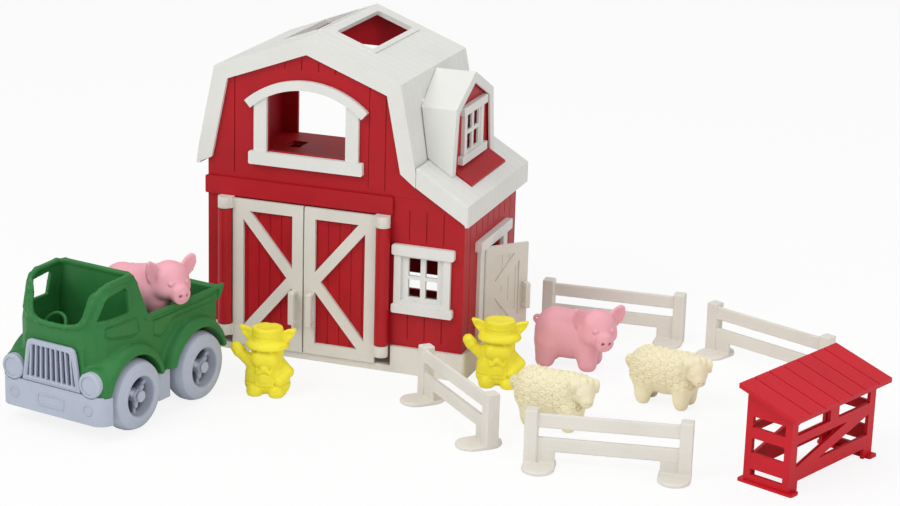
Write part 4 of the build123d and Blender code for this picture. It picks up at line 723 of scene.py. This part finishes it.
def farmer_clay(step):
    """Farmer: limbs and eggs melted together, clothes that are the skin raised within a form, and a hat.

    The hat is two outlines over the distance to the middle.
    """
    clay = Clay((-36, -22, -2), (28, 16, 64), step)
    at = clay.at
    for x in (-9.2, 9.2):
        clay.add(limb(at, (x, 0.5, 8), (x * 0.9, 0.5, 17), 9.4, 9.4), 1)
    clay.add(egg(at, (0, 0.5, 18), (19.4, 12.6, 14)), 3)
    clay.add(egg(at, (0, 0.5, 9), (18.6, 11.4, 9)), 4)
    clay.add(limb(at, (0, 0.5, 20), (0, 0.5, 27), 12, 10), 4)
    clay.carve(limb(at, (0, -14, 0), (0, -11, 9), 1.0, 0.4), 1.6)
    for x in (-9.2, 9.2):
        clay.add(limb(at, (x, 1.5, 4.4), (x * 1.03, -7, 4.2), 8.4, 7.4), 0.8)
    cuff = smooth_max(limb(at, (0, 0, 27), (0, 0, 26), 30, 30), np.abs(at[2] - 11.4) - 0.5, 0.3)
    clay.carve(smooth_max(cuff, -clay.field - 0.7, 0.3), 0.3)
    clay.add(limb(at, (-11.5, 0.5, 25), (-23.8, -2, 36.4), 6.2, 4.8), 2)
    clay.add(limb(at, (-24.6, -2, 37.4), (-27.2, -2.4, 41), 5.6, 5.0), 0.8)
    clay.carve(limb(at, (-33, -5, 40.6), (-27, -7.4, 44.6), 0.5, 0.5), 0.6)
    clay.add(limb(at, (11.5, 0.5, 26.5), (18.4, -2, 21.6), 6.0, 5.2), 2)
    clay.add(limb(at, (18.4, -2, 21.6), (13.6, -8.2, 15.8), 5.2, 4.4), 1)
    clay.add(ball(at, (12.4, -9.6, 14.6), 4.4), 0.6)
    bib = block(at, (0, -12, 18), (8.6, 8, 8.4), 2)
    clay.add(smooth_max(clay.field - 0.8, bib, 0.5), 0.4)
    pocket = block(at, (0, -12, 17), (4.8, 8, 3.6), 1)
    clay.add(smooth_max(clay.field - 0.6, pocket, 0.3), 0.3)
    for side in (-1, 1):
        strap = limb(at, (side * 6.4, -12, 24), (side * 9, 0, 33), 1.7, 1.7)
        clay.add(smooth_max(clay.field - 0.8, strap, 0.4), 0.3)
        clay.add(ball(at, (side * 6.2, -11.9, 24.4), 1.5), 0.4)
    neck = np.sqrt((at[0] / 13.6) ** 2 + ((at[1] + 0.6) / 12.4) ** 2) * 13 - 13
    clay.add(smooth_max(neck, np.abs(at[2] - 28.6) - 2.0, 2.0), 1)
    for side in (-1, 1):
        clay.add(limb(at, (side * 0.8, -13.4, 26.4), (side * 5.6, -13.2, 22.2), 2.6, 1.5), 0.8)
    clay.add(ball(at, (0, -13.8, 26.6), 2.5), 0.5)
    clay.add(egg(at, (0, 0, 39), (13.8, 12.8, 12)), 2)
    clay.add(egg(at, (0, -1, 33.6), (13.8, 12, 8)), 2)
    clay.add(limb(at, (-5.2, -8.8, 34.2), (5.2, -8.8, 34.2), 7.2, 7.2), 2)
    smile = ring(at, (0, -13.6, 38.4), 8.6, 0.55)
    clay.carve(smile + 6 * np.clip(at[2] - 32.6, 0, 1), 0.6)
    for side in (-1, 1):
        clay.carve(ball(at, (side * 2.7, -16.4, 36.6), 1.1), 0.5)
        clay.add(ball(at, (side * 5.4, -12.2, 42.2), 1.6), 0.5)
        ear = outline(at[0] * side, at[2], FARMER_EAR)
        clay.add(smooth_max(ear, np.abs(at[1] - 0.6) - 2.2, 2.0), 1.4)
        clay.carve(egg(at, (side * 19.0, -3.0, 54.8), (3.6, 2.6, 3.4)), 1)
    around = np.hypot(at[0], at[1] * 1.12)
    clay.add(outline(around, at[2], HAT_BRIM) - 0.3, 0.8)
    clay.add(outline(around, at[2], HAT_CROWN) - 0.2, 1)
    clay.carve(limb(at, (0, -9, 64.2), (0, 9, 63.8), 3.6, 3.6), 2)
    for height in (50.6, 54.0):
        clay.add(smooth_max(np.abs(around - 13.0) - 0.6, np.abs(at[2] - height) - 0.7, 0.4), 0.4)
    clay.level()
    return clay


def cab_sweep(z):
    """How far the cab's plan is drawn back: 0.26 of the height above the cowl, over its first 19 mm."""
    return 0.26 * np.clip(z - COWL, 0, 19)


def truck_shell(x, y, z):
    """Distance to the truck's outer form: the largest of those to its side, end and plan outlines."""
    side = outline(x, z, SIDE_PROFILE)
    end = outline(y, z, END_PROFILE)
    plan = outline(x + cab_sweep(z), y, PLAN)
    return smooth_max(smooth_max(side, end, 4), plan, 4)


def swollen_shell(x, y, z, fender):
    """Distance to the shell melted together with the nose, two lamp seats and four fenders.

    A seat is a short cylinder along the truck, and a fender a disc round its axle.
    """
    shell = truck_shell(x, y, z)
    nose = smooth_max(np.abs(y) - 27.5, np.abs(x - 100) - 11.0, 1)
    outer = smooth_min(shell, smooth_max(nose, z - 69, 3), 2)
    for side in (-1, 1):
        seat = smooth_max(np.hypot(y - side * LAMP_SIDE, z - LAMP_HEIGHT) - 11.2, np.abs(x - 98) - 12.6, 2)
        outer = smooth_min(outer, seat, 4)
    for axle in (REAR_AXLE, FRONT_AXLE):
        arch = smooth_max(np.hypot(x - axle, z - TYRE_RADIUS) - fender, np.abs(y) - 49.0, 9)
        outer = smooth_min(outer, smooth_max(arch, 22 - np.abs(y), 1), 3.4)
    return outer


def wheel_wells(x, y, z, well):
    """Distance to the four wheel wells: the least distance to tubes round the axle lines."""
    wells = FAR
    for axle in (REAR_AXLE, FRONT_AXLE):
        tube = smooth_max(np.hypot(x - axle, z - TYRE_RADIUS) - well, 25.6 - np.abs(y), 1)
        wells = np.minimum(wells, tube)
    return wells


def truck_clay(step, fender, well):
    """Truck body: the swollen shell, hollowed for the open cab, the bed and the wheels, with rolled rims.

    Rims are limbs, and panel lines are cut where a point lies near an outline and near the shell.
    """
    clay = Clay((-41, -52, 32), (117, 52, 117), step)
    at = clay.at
    x, y, z = at
    clay.fill(swollen_shell(x, y, z, fender))
    wells = wheel_wells(x, y, z, well)
    cab = smooth_max(outline(x, z, CAB_SIDE), outline(x + cab_sweep(z), y, CAB_PLAN), 2)
    cab = smooth_max(cab, outline(y, z, CAB_END), 2)
    clay.carve(smooth_max(cab, -(wells - 3), 2), 0.8)
    clay.carve(smooth_max(outline(y, z, WINDSCREEN), 92 - x, 1), 1.2)
    clay.carve(smooth_max(np.maximum(np.abs(x - 13) - 42.6, np.abs(y) - 38), BED_FLOOR - 0.2 - z, 2), 0.8)
    clay.carve(wells, 1)
    shell = truck_shell(x, y, z)
    opening = outline(x, z, SIDE_WINDOW)
    lip = smooth_max(smooth_max(np.abs(opening - 1.4) - 1.3, shell - 0.8, 0.6), 26 - np.abs(y), 0.5)
    clay.add(smooth_max(lip, -(shell + 2.6), 0.5), 0.6)
    clay.carve(smooth_max(opening, 24 - np.abs(y), 0.5), 0.8)
    for flip in (-1, 1):
        for path in RIMS:
            for (ax, ay, az, _), (bx, by, bz, radius) in zip(path, path[1:]):
                clay.add(limb(at, (ax, flip * ay, az), (bx, flip * by, bz), radius, radius), 1.4)
    clay.add(limb(at, (-32.4, -40, 79.4), (-32.4, 40, 79.4), 1.9, 1.9), 1.6)
    clay.add(limb(at, (62.2, -28.6, 112.0), (62.2, 28.6, 112.0), 1.9, 1.9), 1.4)
    skin = smooth_max(shell - 0.4, -(shell + 1.2), 0.2)
    for panel, half_width in ((DOOR_PANEL, 0.7), (BED_PANEL, 0.45)):
        groove = smooth_max(np.abs(outline(x, z, panel)) - half_width, skin, 0.2)
        clay.carve(smooth_max(groove, 30 - np.abs(y), 0.2), 0.3)
    clay.add(limb(at, (104, -13, 60), (93, -14, 72), 1.8, 1.8), 1)
    wheel = turned(at, (92.6, -14, 73), 0, radians(52))
    clay.add(ring([wheel[0], wheel[2], wheel[1]], (0, 0, 0), 9.5, 1.5), 0.6)
    clay.level(34.4, 0.6)
    return clay


def grille_clay(step):
    """Grille: a rounded frame, narrower at its top, in front of upright slots.

    A slot is cut near each odd half pitch of the distance from the middle, which is stretched with height.
    """
    clay = Clay((NOSE - 1, -29, 33), (NOSE + 5, 29, 70), step)
    x, y, z = clay.at
    face = outline(y, z, GRILLE_FACE) - 0.4
    clay.fill(smooth_max(face, np.abs(x - NOSE - 1.8) - 1.8, 1.4))
    lean = y * (1 + (z - 51) * 0.0035)
    slot = np.abs(lean - (np.round(lean / SLOT_PITCH - 0.5) + 0.5) * SLOT_PITCH) - 1.55
    window = outline(y, z, GRILLE_WINDOW)
    clay.carve(smooth_max(smooth_max(slot, window, 0.6), NOSE + 0.9 - x, 0.3), 0.5)
    lip = smooth_max(np.abs(window - 1.2) - 0.5, np.abs(x - NOSE - 3.8) - 0.6, 0.3)
    clay.add(lip, 0.4)
    return clay


def bumper_relief_clay(step):
    """Bare plate and two lamps as raised lines along the edges of a rounded box and two circles."""
    clay = Clay((BUMPER - 1.2, -43, 16), (BUMPER + 1.6, 43, 31), step)
    x, y, z = clay.at
    plate = np.abs(smooth_max(np.abs(y) - 12.0, np.abs(z - 23.6) - 4.2, 1.2)) - 0.5
    lamps = np.abs(np.hypot(np.abs(y) - 34.0, z - 24.2) - 3.8) - 0.5
    clay.fill(smooth_max(np.minimum(plate, lamps), np.abs(x - BUMPER) - 0.7, 0.4))
    return clay


def wheel_clay(step):
    """Wheel about Y: tyre, dishes and hub outlined over the distance to the axle line, and three spokes."""
    clay = Clay((-28, -11, -28), (28, 11, 28), step)
    x, y, z = clay.at
    flat = np.hypot(x, z)
    clay.fill(smooth_max(outline(flat, y, TYRE), flat - TYRE_RADIUS, 2))
    clay.carve(outline(flat, y, OUTER_DISH), 1.6)
    clay.carve(smooth_max(np.abs(flat - 19.6) - 0.6, 9.4 - y, 0.4), 0.5)
    clay.carve(outline(flat, y, INNER_DISH), 1.0)
    clay.add(outline(flat, y, HUB), 0.8)
    for turn in (90, 210, 330):
        arm = turned(clay.at, (0, 0, 0), 0, radians(turn))
        clay.add(block(arm, (8.5, -0.2, 0), (7.0, 3.6, 1.6), 1.0), 0.8)
        clay.add(limb(arm, (5.4, 3.4, 0), (8.4, 3.6, 0), 2.6, 2.0), 0.8)
    clay.carve(smooth_max(np.abs(flat - 4.2) - 0.5, 7.2 - y, 0.3), 0.3)
    clay.carve(flat - AXLE_RADIUS, 0.3)
    return clay


def dish_shade_amount(points):
    """Painted shade by depth in the wheel's dish: 0 outside its rim or above it, and 1 at its bottom."""
    flat = np.hypot(points[:, 0], points[:, 2])
    return np.clip((15.2 - flat) / 1.2, 0, 1) * np.clip((3.6 - points[:, 1]) / 4.4, 0, 1)


# Operators


class FarmOperator:
    """What all of the farm's operators share."""

    bl_options = {"REGISTER", "UNDO"}


class FARM_OT_barn(FarmOperator, bpy.types.Operator):
    """Give the barn's walls, roofs, windows and base their plastics."""

    bl_idname = "farm.barn"
    bl_label = "Barn"

    def execute(self, context):
        look = context.scene.farm_barn
        red = moulded_plastic("barn_red", look.wall, 0.44, look.flecks, 0.3)
        dress(red, "lower_front_wall", "lower_left_wall", "lower_right_wall", "lower_back_wall")
        dress(red, "loft_floor", "gable_front", "gable_back", "dormer_wall")
        dress(red, "door_left_panel", "door_right_panel", "door_lintel")
        planks = planked_plastic("roof_planks", look.trim, 0.5, look.flecks * 0.3, PLANK_PITCH, PLANK_SEAM)
        soften(planks, "trim_white", 1.1, "roof")
        soften(planks, "trim_white", 0.9, "lean_to_roof")
        white = moulded_plastic("roof_white", look.trim, 0.5, look.flecks * 0.3, 0.2)
        soften(white, "trim_white", 1.6, "dormer_hood")
        soften(white, "trim_white", 0.8, "loft_window_frame")
        soften(white, "trim_white", 0.5, "front_window", "dormer_window", "side_door_frame")
        cream = moulded_plastic("door_cream", look.cream, 0.5, look.flecks * 0.4, 0.25)
        soften(cream, "warm_white", 0.9, "base_tray")
        soften(cream, "warm_white", 0.5, "door_left_frame", "door_right_frame")
        soften(cream, "warm_white", 0.5, "door_left_handle", "door_right_handle")
        dress(cream, "side_door", "side_door_handle")
        return {"FINISHED"}


class FARM_OT_pens(FarmOperator, bpy.types.Operator):
    """Mould the fence panels and give the shelter its plastic."""

    bl_idname = "farm.pens"
    bl_label = "Fences and shelter"

    def execute(self, context):
        look = context.scene.farm_barn
        cream = moulded_plastic("fence_cream", shade(look.cream, 1.03), 0.5, look.flecks * 0.4, 0.25)
        mould_copies(fence_clay(FENCE_GRID), FENCE_PLACES, 1.0, cream, "_moulding")
        dress(moulded_plastic("shelter_red", look.shelter, 0.42, 0.10, 0.7), "shelter_roof", "shelter_frame")
        return {"FINISHED"}


class FARM_OT_truck(FarmOperator, bpy.types.Operator):
    """Build the pickup truck's rounded body and wheels, and give its trim a plastic."""

    bl_idname = "farm.truck"
    bl_label = "Pickup truck"

    def execute(self, context):
        look = context.scene.farm_truck
        green = moulded_plastic("truck_green", look.green, 0.42, 0.14, 0.2)
        points, faces = truck_clay(look.step, look.fender, look.well).skin()
        body = make_piece("truck_body_moulding", settle(points, TRUCK_PLACE), faces, green)
        stand_in(body, "truck_body")
        grey = moulded_plastic("truck_grey", look.grey, 0.48, 0.08, 0.2)
        dress(grey, "truck_chassis", "headlight_left", "headlight_right")
        points, faces = grille_clay(TRIM_GRID).skin()
        # Painted shade: the grille darkens to the dark tint at the bottoms of its slots, where shade falls
        slots = shade_painted_by("grille_grey", look.grey, look.painted_shade_tint, "slot", 0.48, 0.08)
        depth = np.clip((NOSE + 1.6 - points[:, 0]) / 0.6, 0, 1)
        grille = make_piece("grille_frame", settle(points, TRUCK_PLACE), faces, slots, ("slot", depth))
        stand_in(grille, "truck_grille")
        points, faces = bumper_relief_clay(TRIM_GRID).skin()
        relief = make_piece("bumper_relief", settle(points, TRUCK_PLACE), faces, grey)
        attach(relief, body_of("truck_chassis"))
        dress(grey, "front_cap_left", "front_cap_right", "rear_cap_left", "rear_cap_right")
        steel = Finish("axle_steel", Metallic=1.0, Roughness=0.35)
        steel.colour(steel.mix(steel.noise(600), (0.5, 0.5, 0.52, 1), (0.62, 0.62, 0.64, 1)))
        dress(steel.material, "front_axle", "rear_axle")
        # Painted shade: the wheels darken to the dark tint towards the bottoms of their dishes
        rubber = shade_painted_by("wheel_grey", look.grey, look.painted_shade_tint, "dish", 0.5, 0.08)
        points, faces = wheel_clay(WHEEL_GRID).skin()
        dish = ("dish", dish_shade_amount(points))
        for axle, x in (("front", FRONT_AXLE), ("rear", REAR_AXLE)):
            for hand, side in (("left", 1), ("right", -1)):
                name = f"{axle}_wheel_{hand}"
                placed = points * (side, side, 1) + (x, side * WHEEL_MIDDLE, TYRE_RADIUS)
                wheel = make_piece(name + "_tyre", settle(placed, TRUCK_PLACE), faces, rubber, dish)
                stand_in(wheel, name)
        return {"FINISHED"}


class FARM_OT_pigs(FarmOperator, bpy.types.Operator):
    """Model the pig in the pen and the pig in the truck bed."""

    bl_idname = "farm.pigs"
    bl_label = "Pigs"

    def execute(self, context):
        look = context.scene.farm_figures
        pink = moulded_plastic("pig_pink", look.pink, 0.42, 0.06, 0.12)
        points, faces = pig_clay(look.step).skin()
        pen = make_piece("pen_pig_figure", settle(points, PEN_PIG_PLACE, size=PIG_SIZE), faces, pink)
        stand_in(pen, "pig_in_pen")
        place = (*truck_point(*BED_PIG[:2]), TRUCK_PLACE[2] + BED_PIG[2])
        bed = make_piece("bed_pig_figure", settle(points, place, BED_FLOOR, PIG_SIZE), faces, pink)
        stand_in(bed, "pig_in_truck")
        return {"FINISHED"}


class FARM_OT_sheep(FarmOperator, bpy.types.Operator):
    """Model the two sheep with their curls of wool."""

    bl_idname = "farm.sheep"
    bl_label = "Sheep"

    def execute(self, context):
        look = context.scene.farm_figures
        cream = moulded_plastic("sheep_cream", look.fleece, 0.5, 0.05, 0.12)
        mould_copies(sheep_clay(look.step, look.curl), SHEEP_PLACES, SHEEP_SIZE, cream)
        return {"FINISHED"}


class FARM_OT_farmers(FarmOperator, bpy.types.Operator):
    """Model the two waving farmers."""

    bl_idname = "farm.farmers"
    bl_label = "Farmers"

    def execute(self, context):
        look = context.scene.farm_figures
        yellow = moulded_plastic("farmer_yellow", look.yellow, 0.4, 0.06, 0.12)
        mould_copies(farmer_clay(look.step), FARMER_PLACES, FARMER_SIZE, yellow)
        return {"FINISHED"}


class FARM_OT_stage(FarmOperator, bpy.types.Operator):
    """Set up the pale floor, the soft studio lights and the camera."""

    bl_idname = "farm.stage"
    bl_label = "Stage"

    def execute(self, context):
        look = context.scene.farm_stage
        half = look.floor_width / 2
        corners = [(-half, -half, 0), (half, -half, 0), (half, half, 0), (-half, half, 0)]
        paint = Finish("floor_pale", Roughness=0.9, Specular_IOR_Level=0.1)
        paint.colour(paint.mix(paint.noise(2.0), tuple(look.floor), shade(look.floor, 0.985)))
        lit = Signal(paint, paint.shader.outputs[0])
        glow = paint.node("ShaderNodeEmission", {}, {"Color": WHITE, "Strength": 1.0})
        seen = paint.node("ShaderNodeLightPath", {}, {}, "Is Camera Ray")
        surface = paint.node("ShaderNodeMixShader", {}, {0: seen * 0.86, 1: lit, 2: glow})
        paint.feed(paint.output.inputs["Surface"], surface)
        floor = make_piece("floor", corners, [(0, 1, 2, 3)], paint.material)
        self.light_studio(context)
        self.set_camera(context, look)
        context.scene.view_settings.view_transform = "Standard"
        return {"FINISHED"}

    def light_studio(self, context):
        """Three wide lamps round a pale world, which the camera and clear plastics see as plain white."""
        for name, place, width, power in LAMPS:
            lamp = bpy.data.lights.new(name, "AREA")
            lamp.energy = power
            lamp.size = width
            holder = bpy.data.objects.new(name, lamp)
            holder.location = place
            aim = Vector(LAMP_AIM) - Vector(place)
            holder.rotation_euler = aim.to_track_quat("-Z", "Y").to_euler()
            context.scene.collection.objects.link(holder)
        world = bpy.data.worlds.new("studio")
        world.use_nodes = True
        graph = Graph(world.node_tree)
        camera_ray = graph.node("ShaderNodeLightPath", {}, {}, "Is Camera Ray")
        clear_ray = graph.node("ShaderNodeLightPath", {}, {}, "Is Transmission Ray")
        straight = graph.node("ShaderNodeMath", {"operation": "MAXIMUM"}, {0: camera_ray, 1: clear_ray})
        strength = graph.node("ShaderNodeMapRange", {}, {"Value": straight, "To Min": 0.46, "To Max": 1.0})
        sky = world.node_tree.nodes["Background"]
        graph.feed(sky.inputs["Strength"], strength)
        graph.feed(sky.inputs["Color"], WHITE)
        context.scene.world = world

    def set_camera(self, context, look):
        """Camera on a sphere about the middle of the farm, rolled as the photograph is."""
        flat = cos(look.elevation)
        back = Vector((sin(look.azimuth) * flat, -cos(look.azimuth) * flat, sin(look.elevation)))
        right = Vector((cos(look.azimuth), sin(look.azimuth), 0))
        up = back.cross(right)
        rolled_right = cos(look.roll) * right + sin(look.roll) * up
        rolled_up = cos(look.roll) * up - sin(look.roll) * right
        target = Vector(FARM_MIDDLE)
        lens = bpy.data.cameras.new("photo_camera")
        lens.lens = look.focal
        lens.sensor_width = 36
        lens.clip_start = 0.05
        lens.clip_end = 50
        camera = bpy.data.objects.new("photo_camera", lens)
        axes = Matrix((rolled_right, rolled_up, back)).transposed()
        camera.matrix_world = Matrix.Translation(target + look.distance * back) @ axes.to_4x4()
        context.scene.collection.objects.link(camera)
        context.scene.camera = camera


class FARM_PT_panel(bpy.types.Panel):
    """Sidebar panel that lists the farm's operators and settings."""

    bl_idname = "FARM_PT_panel"
    bl_label = "Toy farm"
    bl_space_type = "VIEW_3D"
    bl_region_type = "UI"
    bl_category = "Farm"

    def draw(self, context):
        for operator in OPERATORS:
            self.layout.operator(operator.bl_idname)
        for name, _ in SETTINGS:
            group = getattr(context.scene, name)
            for key in group.bl_rna.properties.keys():
                if key not in ("rna_type", "name"):
                    self.layout.prop(group, key)


SETTINGS = (
    ("farm_barn", BarnSettings),
    ("farm_truck", TruckSettings),
    ("farm_figures", FigureSettings),
    ("farm_stage", StageSettings),
)
OPERATORS = (
    FARM_OT_barn, FARM_OT_pens, FARM_OT_truck, FARM_OT_pigs, FARM_OT_sheep, FARM_OT_farmers, FARM_OT_stage,
)


def register():
    """Register the settings, the operators and the panel."""
    for name, group in SETTINGS:
        bpy.utils.register_class(group)
        setattr(bpy.types.Scene, name, PointerProperty(type=group))
    for operator in OPERATORS:
        bpy.utils.register_class(operator)
    bpy.utils.register_class(FARM_PT_panel)


def unregister():
    """Take the panel, the operators and the settings away again."""
    bpy.utils.unregister_class(FARM_PT_panel)
    for operator in reversed(OPERATORS):
        bpy.utils.unregister_class(operator)
    for name, group in reversed(SETTINGS):
        delattr(bpy.types.Scene, name)
        bpy.utils.unregister_class(group)


def main():
    """Build every piece in order."""
    register()
    bpy.ops.farm.barn()
    bpy.ops.farm.pens()
    bpy.ops.farm.truck()
    bpy.ops.farm.pigs()
    bpy.ops.farm.sheep()
    bpy.ops.farm.farmers()
    bpy.ops.farm.stage()


if __name__ == "__main__":
    main()
